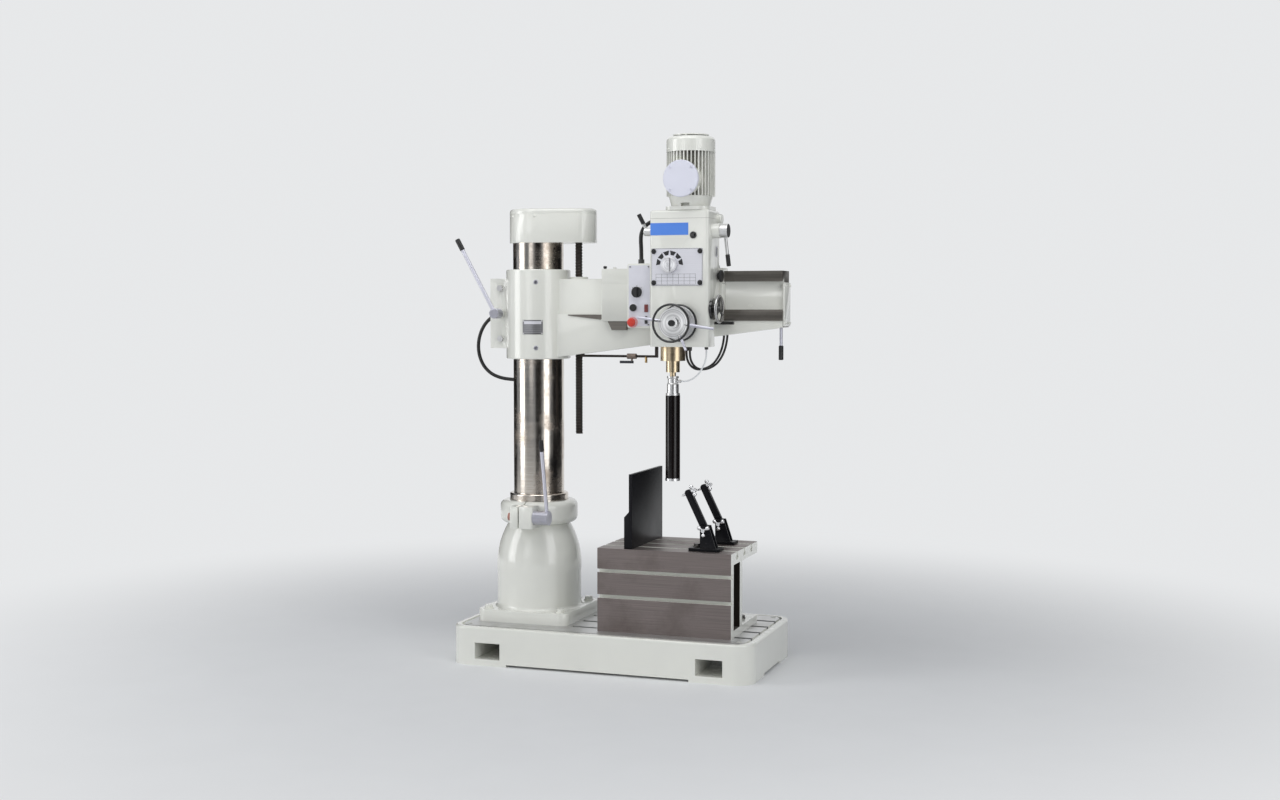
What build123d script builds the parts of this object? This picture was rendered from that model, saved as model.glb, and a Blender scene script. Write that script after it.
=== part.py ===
"""Radial-arm core drilling machine.

Frame: origin on the floor at the centre of the base, +X along the arm, +Y to the back, +Z up.
All lengths are in millimetres.
"""
from build123d import *
import os
from math import acos, cos, pi, radians, sin, sqrt, tan

os.makedirs("parts", exist_ok=True)

# Fits
running_fit = 0.05
face_gap = 0.3

# Base casting
base_length = 1272.0
base_width = 652.0
base_height = 157.0
base_corner_radius = 78.0
base_edge_radius = 9.0
base_wall = 30.0
base_deck = 56.0
base_rib = 26.0
base_rib_offset = 330.0
foot_length = 250.0
foot_width = 205.0
foot_height = 10.0
fork_width = 110.0
fork_height = 66.0
fork_floor = 27.0
fork_spacing = 936.0
anchor_spacing_x = 1144.0
anchor_spacing_y = 524.0
anchor_hole_radius = 11.0
anchor_boss_radius = 42.0
gutter_width = 12.0
gutter_depth = 8.0
gutter_inset = 24.0
base_slot_count = 4
base_slot_pitch = 122.0
base_slot_neck = 22.0
base_slot_neck_depth = 20.0
base_slot_tee = 36.0
base_slot_tee_depth = 16.0

# Pedestal and column
column_x = -374.0
column_radius = 105.0
column_bore = 85.0
pedestal_flange = 400.0
pedestal_flange_height = 48.0
pedestal_flange_corner = 40.0
pedestal_bolt_pitch = 320.0
bell_radius = 176.0
bell_foot_fillet = 14.0
bell_straight = 140.0
bell_height = 350.0
neck_radius = 127.0
collar_radius = 162.0
collar_height = 96.0
collar_edge = 28.0
column_depth = 390.0
thrust_height = 26.0
thrust_bore = 62.0
thrust_clearance = 2.0
dust_ring_radius = 122.0
dust_ring_height = 28.0
dust_ring_edge = 7.0
column_over_arm = 122.0

# Column clamp
lug_left = 41.0
lug_right = 60.0
lug_reach = 220.0
lug_height = 90.0
lug_drop = 8.0
lug_corner = 9.0
lug_slit = 6.0
lug_slit_offset = -1.0
column_stud_reach = 193.0
column_stud_radius = 10.0
column_stud_head_radius = 16.0
column_stud_head_length = 12.0
column_hub_radius = 29.0
column_hub_length = 65.0
column_lever_radius = 7.5
column_lever_inset = 9.0
column_lever_height = 270.0
column_lever_lean = -23.0
column_grip_radius = 9.5
column_grip_length = 48.0

# Gear cover and lift drive
cover_height = 140.0
cover_lid_height = 22.0
cover_big_radius = 118.0
cover_small_radius = 75.0
cover_wall = 6.0
cover_floor = 16.0
cover_lid_edge = 14.0
lift_motor_radius = 68.0
lift_motor_height = 215.0
gear_case_height = 62.0
gear_case_margin = 22.0
lift_screw_offset = 181.0
lift_screw_radius = 15.0
lift_screw_length = 804.0
screw_hole_clearance = 2.0
lift_screw_head = 24.0
lift_screw_head_height = 12.0
lift_nut_radius = 28.0
lift_nut_length = 140.0
lift_nut_flange_radius = 38.0
lift_nut_flange_height = 9.0

# Arm: heights are counted from the lower edge of the lower way
way_bottom = 1398.0
lower_way_height = 44.0
groove_mouth = 110.0
upper_way_height = 42.0
way_front = -75.0
groove_depth = 25.0
groove_undercut = 14.0
arm_back = 30.0
arm_wall = 15.0
arm_end = 1064.0
way_start = 314.0
sleeve_radius = 134.0
sleeve_height = 369.0
sleeve_drop = 160.0
sleeve_edge = 6.0
root_front_upper = -61.0
root_front_lower = -71.0
root_back = 44.0
root_top = 169.0
root_step = 27.0
rib_drop_root = 149.0
rib_drop_end = 26.0
rib_root_reach = 124.0
end_plate_thickness = 7.0
end_plate_margin = 4.0
ear_reach = 198.0
ear_half = 48.0
ear_bottom = 43.0
ear_height = 290.0
ear_slit = 6.0
ear_bolt_reach = 152.0
ear_bolt_inset = 40.0
ear_bolt_radius = 8.0
arm_hub_radius = 21.0
arm_hub_length = 52.0
arm_hub_boss = 18.0
arm_stud_radius = 9.0
arm_lever_radius = 8.0
arm_lever_length = 300.0
arm_lever_angle = 119.0
arm_grip_radius = 10.5
arm_grip_length = 52.0
swing_handle_inset = 16.0
swing_handle_y = -30.0
swing_rod_radius = 6.0
swing_rod_length = 70.0
swing_grip_radius = 9.5
swing_grip_length = 57.0

# Water line under the arm
pipe_y = -56.0
pipe_drop = 145.0
pipe_radius = 5.0
pipe_left = 214.0
pipe_right = 545.0
valve_x = 433.0
valve_radius = 11.0
valve_length = 38.0
valve_stem_radius = 4.0
valve_handle_length = 52.0
valve_handle_width = 14.0
valve_handle_drop = 22.0
barb_x = 494.0
barb_drop = 26.0
clip_width = 12.0

# Head: X is counted from the column axis to the spindle, Y from the column axis
spindle_reach = 642.0
spindle_y = -160.0
head_left_of_spindle = 64.0
head_width = 240.0
head_front_of_spindle = 100.0
head_drop = 101.0
head_height = 530.0
head_corner_radius = 12.0
head_top_radius = 10.0
head_nose_corner = 85.0
head_wall = 22.0
gear_chamber_floor = 300.0
gear_chamber_mouth = 50.0
filler_y = -135.0
filler_z = 397.0
filler_radius = 20.0
filler_reach = 20.0
saddle_front = -105.0
saddle_left_of_spindle = 322.0
saddle_length = 507.0
saddle_drop = 3.0
keeper_seam = 147.0
keeper_top = 12.0
keeper_back = -20.0

# Quill, spindle and feed
quill_radius = 49.0
quill_length = 420.0
quill_showing = 57.0
quill_bore = 32.0
bearing_height = 26.0
spindle_radius = 22.0
drive_shaft_radius = 18.0
drive_shaft_length = 140.0
nose_radius = 27.5
nose_height = 45.0
rack_module = 2.0
rack_pitch_offset = 45.0
rack_teeth = 40
pinion_teeth = 16
tooth_backlash = 0.55
feed_drop = 8.0
feed_shaft_radius = 12.0
feed_hub_radius = 22.0
feed_drum_radius = 66.0
feed_drum_height = 22.0
feed_hub_length = 104.0
feed_disc_radius = 58.0
feed_disc_offset = 78.0
feed_disc_height = 10.0
feed_cap_radius = 12.0
feed_cap_height = 9.0
hand_ring_radius = 71.0
hand_ring_tube = 4.6
hand_ring_offset = 116.0
feed_lever_offset = 62.0
feed_lever_length = 156.0
feed_lever_angle = 172.0
clutch_lever_length = 122.0
clutch_lever_angle = -62.0
clutch_lever_lean = 0.3
feed_lever_root = 7.5
feed_lever_tip = 5.0

# Water swivel and core barrel
arbor_radius = 12.0
arbor_neck = 16.0
swivel_radius = 23.5
swivel_height = 76.0
swivel_ring_radius = 28.0
swivel_ring_height = 9.0
swivel_inlet_radius = 6.0
swivel_inlet_reach = 34.0
swivel_inlet_height = 56.0
barrel_radius = 29.0
barrel_wall = 4.0
barrel_length = 338.0
barrel_head = 16.0
crown_height = 10.0
crown_radius = 30.0

# Spindle motor
motor_x_offset = 80.0
motor_y = -182.0
motor_radius = 95.0
motor_core_radius = 80.0
motor_flange_length = 176.0
motor_flange_width = 150.0
motor_flange_corner = 34.0
motor_flange_height = 14.0
motor_bell_height = 41.0
motor_bell_foot = 75.0
motor_bell_top = 87.0
bell_window_width = 36.0
bell_window_height = 13.0
bell_window_depth = 34.0
motor_fin_height = 170.0
motor_fin_count = 40
motor_fin_width = 4.5
cowl_radius = 96.0
cowl_height = 68.0
cowl_dome = 18.0
cowl_wall = 3.0
cowl_mouth = 54.0
cowl_cap_radius = 71.0
cowl_cap_gap = 4.0
cowl_cap_height = 4.0
cowl_spacer_radius = 4.0
cowl_spacer_count = 4
fan_radius = 80.0
fan_blades = 8
rotor_shaft_radius = 12.0
terminal_radius = 62.0
terminal_cover_radius = 71.0
terminal_cover_height = 12.0
terminal_reach = 122.0
terminal_height = 116.0

# Controls on the head
control_width = 100.0
control_front = -236.0
control_depth = 122.0
control_bottom = 28.0
control_height = 252.0
control_corner = 8.0
control_wall = 4.0
selector_x = 60.0
selector_z = 112.0
selector_radius = 21.0
selector_height = 20.0
start_x = 74.0
start_z = 51.0
start_radius = 14.0
start_height = 12.0
stop_x = 78.0
stop_z = -6.0
stop_radius = 20.0
stop_height = 24.0
stem_radius = 8.0
stem_depth = 26.0
button_travel = 6.0
dial_x = 19.0
dial_z = 217.0
dial_radius = 32.0
dial_height = 24.0
dial_stem_radius = 9.0
dial_stem_depth = 30.0
shift_y = -204.0
shift_z = 348.0
shift_boss_radius = 29.0
shift_boss_length = 32.0
shift_hub_radius = 27.0
shift_hub_length = 32.0
shift_lean = 7.0
shift_stem_radius = 9.0
shift_stem_depth = 30.0
shift_rod_radius = 6.0
shift_rod_length = 92.0
shift_grip_radius = 8.5
shift_grip_length = 46.0
left_hub_radius = 16.5
left_hub_length = 40.0
left_rod_length = 34.0
left_grip_length = 44.0
traverse_y = -215.0
traverse_z = 46.0
traverse_disc_radius = 42.0
traverse_disc_height = 9.0
traverse_hub_radius = 14.0
traverse_hub_length = 36.0
traverse_rim_radius = 50.0
traverse_rim_tube = 6.0
traverse_spokes = 3
traverse_spoke_radius = 5.0
lock_y = -132.0
lock_z = 175.0
lock_radius = 24.0
lock_length = 10.0
lock_neck_radius = 13.0
lock_neck_length = 8.0
lock_stem_radius = 6.0
lock_stem_depth = 26.0

# Box table
table_x = 254.0
table_length = 555.0
table_front = -238.0
table_depth = 389.0
table_height = 335.0
table_top = 46.0
table_foot = 30.0
table_front_wall = 38.0
table_rear_wall = 36.0
table_box_depth = 163.0
table_slot_y = -44.0
table_slot_pitch = 105.0
table_slot_count = 3
table_slot_neck = 18.0
table_slot_neck_depth = 16.0
table_slot_tee = 30.0
table_slot_tee_depth = 13.0
front_slot_drops = (90.0, 193.0)
front_slot_neck = 14.0
front_slot_neck_depth = 11.0
front_slot_tee = 24.0
front_slot_tee_depth = 10.0
table_bolt_inset = 40.0

# Angle plate
plate_face = 121.0
plate_thickness = 13.0
plate_front = -232.0
plate_length = 382.0
plate_height = 298.0
plate_heel = 33.0
plate_heel_height = 148.0
plate_heel_chamfer = 22.0
plate_foot_length = 58.0
plate_foot_height = 18.0
plate_foot_width = 46.0

# Sample clamps
clamp_x = 406.0
clamp_bolt_offset = 17.0
clamp_plate_left = 62.0
clamp_plate_right = 66.0
clamp_plate_half = 34.0
clamp_plate_height = 12.0
clamp_hinge_height = 83.0
clamp_cheek_left = 17.0
clamp_cheek_right = 46.0
clamp_cheek_thickness = 10.0
clamp_bar_width = 26.0
clamp_bar_thickness = 22.0
clamp_bar_length = 160.0
clamp_lean = 26.0
clamp_pin_radius = 5.0
jaw_screw_radius = 5.0
jaw_screw_tip = 32.0
jaw_point_length = 9.0
jaw_point_radius = 1.5
star_hub_radius = 7.5
star_hub_length = 19.0
star_arm_radius = 3.0
star_reach = 19.0
star_ball_radius = 8.5
star_points = 3

# Fasteners
pedestal_bolt_radius = 10.0
table_bolt_radius = 8.0
bolt_head_ratio = 1.5
bolt_head_height_ratio = 1.25
washer_ratio = 2.0
washer_height = 3.0
bolt_hole_clearance = 1.0
tee_nut_clearance = 1.0

# Cables
arm_cable_radius = 7.5
head_cable_radius = 4.5
conduit_radius = 8.0
water_tube_radius = 3.2
gland_wall = 4.0
gland_length = 18.0
tube_fitting_length = 12.0
cable_over_arm = 71.0
head_cable_spacing = 14.0
arc_share = 0.45

# Heights and places that follow from the driving dimensions
flange_top = base_height + pedestal_flange_height
neck_z = flange_top + bell_height
collar_top = neck_z + collar_height
column_bottom = collar_top - column_depth
lug_mid = neck_z + collar_height / 2 - lug_drop
groove_low = way_bottom + lower_way_height
groove_high = groove_low + groove_mouth
way_top = groove_high + upper_way_height
column_top = way_top + column_over_arm
cover_top = column_top + cover_height
groove_back = way_front + groove_depth
arm_end_x = column_x + arm_end
way_start_x = column_x + way_start
sleeve_bottom = way_bottom - sleeve_drop
sleeve_top = sleeve_bottom + sleeve_height
ear_z = sleeve_bottom + ear_bottom
ear_mid = ear_z + ear_height / 2
root_top_z = way_bottom + root_top
screw_x = column_x + lift_screw_offset
spindle_x = column_x + spindle_reach
head_left = spindle_x - head_left_of_spindle
head_right = head_left + head_width
head_front = spindle_y - head_front_of_spindle
head_bottom = way_bottom - head_drop
head_top = head_bottom + head_height
head_back = saddle_front
saddle_left = spindle_x - saddle_left_of_spindle
saddle_right = saddle_left + saddle_length
quill_bottom = head_bottom - quill_showing
quill_top = quill_bottom + quill_length
nose_bottom = quill_bottom - nose_height
swivel_top = nose_bottom - arbor_neck
swivel_bottom = swivel_top - swivel_height
barrel_top = swivel_bottom - face_gap
barrel_bottom = barrel_top - barrel_length
rack_pitch = pi * rack_module
pinion_radius = rack_module * pinion_teeth / 2
feed_x = spindle_x + rack_pitch_offset + pinion_radius
feed_z = way_bottom - feed_drop
motor_x = spindle_x + motor_x_offset
motor_base = head_top + motor_flange_height + motor_bell_height
motor_top = motor_base + motor_fin_height
control_left = head_left - control_width
table_left = table_x - table_length / 2
table_right = table_x + table_length / 2
table_back = table_front + table_depth
table_z = base_height + table_height
table_box_back = table_front + table_box_depth
table_slots = [table_slot_y + table_slot_pitch * (i - (table_slot_count - 1) / 2)
               for i in range(table_slot_count)]
base_slots = [base_slot_pitch * (i - (base_slot_count - 1) / 2) for i in range(base_slot_count)]
clamp_places = {"front": table_slots[0] - clamp_bolt_offset, "rear": table_slots[2] - clamp_bolt_offset}
clamp_hinge_z = table_z + clamp_hinge_height


# Shapes used by several pieces
def block(x0, x1, y0, y1, z0, z1):
    """Box between two corners."""
    return Pos((x0 + x1) / 2, (y0 + y1) / 2, (z0 + z1) / 2) * Box(x1 - x0, y1 - y0, z1 - z0)


def rounded_block(x0, x1, y0, y1, z0, z1, radius):
    """Box with rounded upright edges."""
    outline = Pos((x0 + x1) / 2, (y0 + y1) / 2, z0) * RectangleRounded(x1 - x0, y1 - y0, radius)
    return extrude(outline, amount=z1 - z0)


def post(radius, x, y, z0, z1):
    """Upright cylinder."""
    return Pos(x, y, (z0 + z1) / 2) * Cylinder(radius, z1 - z0)


def bar_x(radius, x0, x1, y, z):
    """Cylinder along X."""
    return Pos((x0 + x1) / 2, y, z) * Rot(0, 90, 0) * Cylinder(radius, x1 - x0)


def bar_y(radius, x, y0, y1, z):
    """Cylinder along Y."""
    return Pos(x, (y0 + y1) / 2, z) * Rot(90, 0, 0) * Cylinder(radius, y1 - y0)


def rod(start, end, radius, end_radius=None):
    """Round rod between two points, tapered when the end radius differs."""
    start, end = Vector(start), Vector(end)
    length = (end - start).length
    frame = Plane(origin=(start + end) * 0.5, z_dir=end - start)
    if end_radius is None:
        return frame * Cylinder(radius, length)
    return frame * Cone(radius, end_radius, length)


def prism_y(points, y0, y1):
    """Side profile of X and Z points, extruded along Y."""
    face = Face(Wire.make_polygon([(x, y0, z) for x, z in points], close=True))
    return extrude(face, amount=y1 - y0, dir=(0, 1, 0))


def prism_x(points, x0, x1):
    """Cross-section of Y and Z points, extruded along X."""
    face = Face(Wire.make_polygon([(x0, y, z) for y, z in points], close=True))
    return extrude(face, amount=x1 - x0, dir=(1, 0, 0))


def turned(points, x, y):
    """Solid of revolution about an upright axis, from radius and height points."""
    face = Face(Wire.make_polygon([(r, 0, z) for r, z in points], close=True))
    return Pos(x, y, 0) * revolve(face, Axis.Z)


def oval(big, small, distance):
    """Outline round two circles of different radius, with their two outer tangents."""
    turn = acos((big - small) / distance)
    side = Vector(cos(turn), sin(turn))
    mirror_side = Vector(side.X, -side.Y)
    centre = Vector(distance, 0)
    return make_face(
        Line(side * big, centre + side * small)
        + ThreePointArc(centre + side * small, centre + Vector(small, 0), centre + mirror_side * small)
        + Line(centre + mirror_side * small, mirror_side * big)
        + ThreePointArc(mirror_side * big, Vector(-big, 0), side * big)
    )


def tee_slot_top(x0, x1, y, z, neck, neck_depth, tee, tee_depth):
    """Cutter for a T-slot along X in a top face."""
    upper = block(x0, x1, y - neck / 2, y + neck / 2, z - neck_depth, z + 1)
    lower = block(x0, x1, y - tee / 2, y + tee / 2, z - neck_depth - tee_depth, z - neck_depth)
    return upper + lower


def tee_slot_front(x0, x1, y, z, neck, neck_depth, tee, tee_depth):
    """Cutter for a T-slot along X in a front face."""
    outer = block(x0, x1, y - 1, y + neck_depth, z - neck / 2, z + neck / 2)
    inner = block(x0, x1, y + neck_depth, y + neck_depth + tee_depth, z - tee / 2, z + tee / 2)
    return outer + inner


def hex_head(radius, x, y, z):
    """Hexagon head with its washer, standing on height z."""
    washer = post(radius * washer_ratio, x, y, z, z + washer_height)
    outline = Pos(x, y, z + washer_height) * RegularPolygon(radius * bolt_head_ratio, 6, major_radius=False)
    return washer + extrude(outline, amount=radius * bolt_head_height_ratio)


def tee_bolt(radius, x, y, seat, slot_top, neck_depth, tee, tee_depth):
    """Bolt that holds a foot down, with its nut in a T-slot."""
    nut_top = slot_top - neck_depth
    half = tee / 2 - tee_nut_clearance
    nut = block(x - half, x + half, y - half, y + half, nut_top - tee_depth + tee_nut_clearance, nut_top)
    return hex_head(radius, x, y, seat) + post(radius, x, y, nut_top, seat) + nut


def cable(points, radius):
    """Round cable along a route: straight runs joined by the largest tangent arcs."""
    points = [Vector(p) for p in points]
    radii = []
    for before, here, after in zip(points, points[1:], points[2:]):
        turn = (here - before).get_angle(after - here)
        shorter = min((here - before).length, (after - here).length)
        radii.append(arc_share * shorter / tan(radians(turn) / 2))
    path = FilletPolyline(*points, radius=radii)
    section = Plane(origin=path @ 0, z_dir=path % 0) * Circle(radius)
    tube = sweep(section, path=path)
    share = tube.volume / (pi * radius**2 * path.length)
    print(f"cable of {path.length:.0f} mm, tightest arc {min(radii):.0f} mm, volume share {share:.4f}")
    return tube


def gland(point, direction, radius, length):
    """Round gland behind a cable's end."""
    frame = Plane(origin=point, z_dir=direction)
    return extrude(frame * Circle(radius + gland_wall), amount=length)


def ball_arm():
    """Arm of a lock star, along X, with a ball end."""
    root = star_hub_radius / 2
    neck = star_reach - sqrt(star_ball_radius**2 - star_arm_radius**2)
    tip = star_reach + star_ball_radius
    outline = make_face(
        Polyline((0, root), (star_arm_radius, root), (star_arm_radius, neck))
        + ThreePointArc((star_arm_radius, neck), (star_ball_radius, star_reach), (0, tip))
        + Line((0, tip), (0, root))
    )
    return Rot(0, 90, 0) * revolve(Plane.XZ * outline, Axis.Z)


def star(turn):
    """Lock knob with ball-ended arms, standing on the XY plane about the Z axis."""
    knob = Pos(0, 0, star_hub_length / 2) * Cylinder(star_hub_radius, star_hub_length)
    for point in range(star_points):
        knob += Pos(0, 0, star_hub_length / 2) * Rot(0, 0, turn + 360 * point / star_points) * ball_arm()
    return knob


def around(shape, count, x, y, z):
    """Copies of a shape turned about an upright axis."""
    return [Pos(x, y, z) * Rot(0, 0, 360 * turn / count) * shape for turn in range(count)]


def save(node, shape):
    """Write one piece to its own file."""
    export_step(shape, f"parts/{node}.step")


# Base casting
def base_casting():
    half_x, half_y = base_length / 2, base_width / 2
    body = rounded_block(-half_x, half_x, -half_y, half_y, 0, base_height, base_corner_radius)
    body = fillet(body.faces().sort_by(Axis.Z)[-1].edges(), base_edge_radius)
    cell_top = base_height - base_deck
    cell_y = half_y - base_wall
    cell_x = half_x - base_wall
    rib_near, rib_far = base_rib_offset - base_rib / 2, base_rib_offset + base_rib / 2
    for x0, x1 in ((-cell_x, -rib_far), (-rib_near, rib_near), (rib_far, cell_x)):
        body -= rounded_block(x0, x1, -cell_y, cell_y, 0, cell_top, base_corner_radius - base_wall)
    for x in (-anchor_spacing_x / 2, anchor_spacing_x / 2):
        for y in (-anchor_spacing_y / 2, anchor_spacing_y / 2):
            body += post(anchor_boss_radius, x, y, 0, cell_top)
            body -= post(anchor_hole_radius, x, y, 0, base_height)
    body -= block(foot_length - half_x, half_x - foot_length, -half_y, half_y, 0, foot_height)
    body -= block(-half_x, half_x, foot_width - half_y, half_y - foot_width, 0, foot_height)
    for x in (-fork_spacing / 2, fork_spacing / 2):
        body -= block(x - fork_width / 2, x + fork_width / 2, -half_y, half_y,
                      fork_floor, fork_floor + fork_height)
    ring_x, ring_y = half_x - gutter_inset, half_y - gutter_inset
    ring_radius = base_corner_radius - gutter_inset
    gutter = rounded_block(-ring_x, ring_x, -ring_y, ring_y,
                           base_height - gutter_depth, base_height, ring_radius)
    gutter -= rounded_block(gutter_width - ring_x, ring_x - gutter_width, gutter_width - ring_y,
                            ring_y - gutter_width, base_height - gutter_depth, base_height,
                            ring_radius - gutter_width)
    body -= gutter
    slot_left = column_x + pedestal_flange / 2 + base_slot_tee / 2
    for y in base_slots:
        body -= tee_slot_top(slot_left, ring_x - gutter_width, y, base_height, base_slot_neck,
                             base_slot_neck_depth, base_slot_tee, base_slot_tee_depth)
    for x, y in pedestal_bolt_places():
        body -= post(pedestal_bolt_radius, x, y, base_height - base_deck / 2, base_height)
    return body


def pedestal_bolt_places():
    half = pedestal_bolt_pitch / 2
    return [(column_x + sx * half, sy * half) for sx in (-1, 1) for sy in (-1, 1)]


def table_bolt_places():
    ends = (table_left + table_bolt_inset, table_right - table_bolt_inset)
    return [(x, y) for x in ends for y in (base_slots[0], base_slots[2])]


# Pedestal: square flange, bell, and a split collar that grips the column
def pedestal():
    half = pedestal_flange / 2
    flange = rounded_block(column_x - half, column_x + half, -half, half, base_height, flange_top,
                           pedestal_flange_corner)
    straight_top = flange_top + bell_straight
    bulge = Vector((bell_radius + neck_radius) / 2 + (bell_radius - neck_radius) * 0.26,
                   (straight_top + neck_z) / 2 + (neck_z - straight_top) * 0.1)
    fillet_end = flange_top + bell_foot_fillet
    foot_mid = bell_foot_fillet * (1 - sqrt(0.5))
    edge_mid = collar_edge * (1 - sqrt(0.5))
    collar_flat = collar_radius - collar_edge
    outline = make_face(
        Line((0, flange_top), (bell_radius + bell_foot_fillet, flange_top))
        + ThreePointArc((bell_radius + bell_foot_fillet, flange_top),
                        (bell_radius + foot_mid, flange_top + foot_mid), (bell_radius, fillet_end))
        + Line((bell_radius, fillet_end), (bell_radius, straight_top))
        + ThreePointArc((bell_radius, straight_top), bulge, (neck_radius, neck_z))
        + Line((neck_radius, neck_z), (collar_flat, neck_z))
        + ThreePointArc((collar_flat, neck_z), (collar_radius - edge_mid, neck_z + edge_mid),
                        (collar_radius, neck_z + collar_edge))
        + Line((collar_radius, neck_z + collar_edge), (collar_radius, collar_top - collar_edge))
        + ThreePointArc((collar_radius, collar_top - collar_edge),
                        (collar_radius - edge_mid, collar_top - edge_mid), (collar_flat, collar_top))
        + Polyline((collar_flat, collar_top), (0, collar_top), (0, flange_top))
    )
    body = flange + Pos(column_x, 0, 0) * revolve(Plane.XZ * outline, Axis.Z)
    lug_z0, lug_z1 = lug_mid - lug_height / 2, lug_mid + lug_height / 2
    body += rounded_block(column_x - lug_left, column_x + lug_right, -lug_reach, -column_radius,
                          lug_z0, lug_z1, lug_corner)
    body -= post(column_radius + running_fit, column_x, 0, column_bottom - thrust_height, collar_top)
    body -= post(thrust_bore, column_x, 0, base_height, column_bottom - thrust_height)
    slit_x = column_x + lug_slit_offset
    body -= block(slit_x - lug_slit / 2, slit_x + lug_slit / 2, -lug_reach, 0, min(neck_z, lug_z0), collar_top)
    body -= bar_x(column_stud_radius + running_fit, column_x - lug_left, column_x + lug_right,
                  -column_stud_reach, lug_mid)
    for x, y in pedestal_bolt_places():
        body -= post(pedestal_bolt_radius + bolt_hole_clearance, x, y, base_height, flange_top)
    return body


def thrust_bearing():
    ring = post(column_radius - thrust_clearance, column_x, 0, column_bottom - thrust_height,
                column_bottom - face_gap)
    return ring - post(thrust_bore, column_x, 0, column_bottom - thrust_height, column_bottom)


def holding_bolts():
    bolts = []
    for x, y in pedestal_bolt_places():
        shank = post(pedestal_bolt_radius, x, y, base_height - base_deck / 2, flange_top)
        bolts.append(hex_head(pedestal_bolt_radius, x, y, flange_top) + shank)
    for x, y in table_bolt_places():
        bolts.append(tee_bolt(table_bolt_radius, x, y, base_height + table_foot, base_height,
                              base_slot_neck_depth, base_slot_tee, base_slot_tee_depth))
    for y in plate_foot_places():
        bolts.append(tee_bolt(table_bolt_radius, plate_bolt_x(), y, table_z + plate_foot_height, table_z,
                              table_slot_neck_depth, table_slot_tee, table_slot_tee_depth))
    for y in clamp_places.values():
        bolts.append(tee_bolt(table_bolt_radius, clamp_bolt_x(), y + clamp_bolt_offset,
                              table_z + clamp_plate_height, table_z, table_slot_neck_depth,
                              table_slot_tee, table_slot_tee_depth))
    return Compound(children=bolts)


# Box table
def box_table():
    body = block(table_left, table_right, table_front, table_back, table_z - table_top, table_z)
    body += block(table_left, table_right, table_front, table_back, base_height, base_height + table_foot)
    body += block(table_left, table_right, table_front, table_front + table_front_wall, base_height, table_z)
    body += block(table_left, table_right, table_box_back - table_rear_wall, table_box_back,
                  base_height, table_z)
    for y in table_slots:
        body -= tee_slot_top(table_left, table_right, y, table_z, table_slot_neck, table_slot_neck_depth,
                             table_slot_tee, table_slot_tee_depth)
    for drop in front_slot_drops:
        body -= tee_slot_front(table_left, table_right, table_front, table_z - drop, front_slot_neck,
                               front_slot_neck_depth, front_slot_tee, front_slot_tee_depth)
    for x, y in table_bolt_places():
        body -= post(table_bolt_radius + bolt_hole_clearance, x, y, base_height, base_height + table_foot)
    return body


# Angle plate that backs the sample
def plate_foot_places():
    return [table_slots[1], table_slots[2]]


def plate_bolt_x():
    return plate_face - plate_heel - plate_foot_length / 2


def angle_plate():
    heel_left = plate_face - plate_heel
    heel_top = table_z + plate_heel_height
    top = table_z + plate_height
    profile = [(heel_left, table_z), (plate_face, table_z), (plate_face, top),
               (plate_face - plate_thickness, top), (plate_face - plate_thickness, heel_top),
               (heel_left, heel_top - plate_heel_chamfer)]
    body = prism_y(profile, plate_front, plate_front + plate_length)
    for y in plate_foot_places():
        body += rounded_block(heel_left - plate_foot_length, heel_left + plate_foot_width / 4,
                              y - plate_foot_width / 2, y + plate_foot_width / 2, table_z,
                              table_z + plate_foot_height, plate_foot_width / 6)
        body -= post(table_bolt_radius + bolt_hole_clearance, plate_bolt_x(), y, table_z,
                     table_z + plate_foot_height)
    return body


# Sample clamps: a bolted fork, a leaning bar, a jaw screw and lock stars
def clamp_bolt_x():
    return clamp_x - (clamp_plate_left + clamp_cheek_left) / 2


def clamp_base(y):
    plate_top = table_z + clamp_plate_height
    body = rounded_block(clamp_x - clamp_plate_left, clamp_x + clamp_plate_right, y - clamp_plate_half,
                         y + clamp_plate_half, table_z, plate_top, clamp_plate_height / 2)
    inner = clamp_bar_thickness / 2 + face_gap
    top = clamp_hinge_z + clamp_cheek_left
    cheek = [(clamp_x - clamp_cheek_left, plate_top), (clamp_x + clamp_cheek_right, plate_top),
             (clamp_x + clamp_cheek_left, top), (clamp_x - clamp_cheek_left, top)]
    body += prism_y(cheek, y - inner - clamp_cheek_thickness, y - inner)
    body += prism_y(cheek, y + inner, y + inner + clamp_cheek_thickness)
    reach = inner + clamp_cheek_thickness
    body += bar_y(clamp_pin_radius, clamp_x, y - reach - star_hub_length / 2, y + reach, clamp_hinge_z)
    body -= post(table_bolt_radius + bolt_hole_clearance, clamp_bolt_x(), y + clamp_bolt_offset,
                 table_z, plate_top)
    return body


def jaw_frame(y):
    """Frame at the top of a bar; its Z axis runs along the jaw screw, away from the sample."""
    lean = radians(clamp_lean)
    top = (clamp_x - clamp_bar_length * sin(lean), y, clamp_hinge_z + clamp_bar_length * cos(lean))
    return Plane(origin=top, x_dir=(0, 1, 0), z_dir=(cos(lean), 0, sin(lean)))


def clamp_arm(y):
    half = clamp_bar_thickness / 2
    frame = jaw_frame(y)
    x1, z1 = frame.origin.X, frame.origin.Z
    side = frame.z_dir * (clamp_bar_width / 2)
    profile = [(clamp_x - side.X, clamp_hinge_z - side.Z), (clamp_x + side.X, clamp_hinge_z + side.Z),
               (x1 + side.X, z1 + side.Z), (x1 - side.X, z1 - side.Z)]
    body = prism_y(profile, y - half, y + half)
    body += bar_y(clamp_bar_width / 2, clamp_x, y - half, y + half, clamp_hinge_z)
    body += bar_y(clamp_bar_width / 2, x1, y - half, y + half, z1)
    body -= frame * Cylinder(jaw_screw_radius + running_fit, 2 * clamp_bar_width)
    return body - bar_y(clamp_pin_radius + running_fit, clamp_x, y - half, y + half, clamp_hinge_z)


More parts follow.
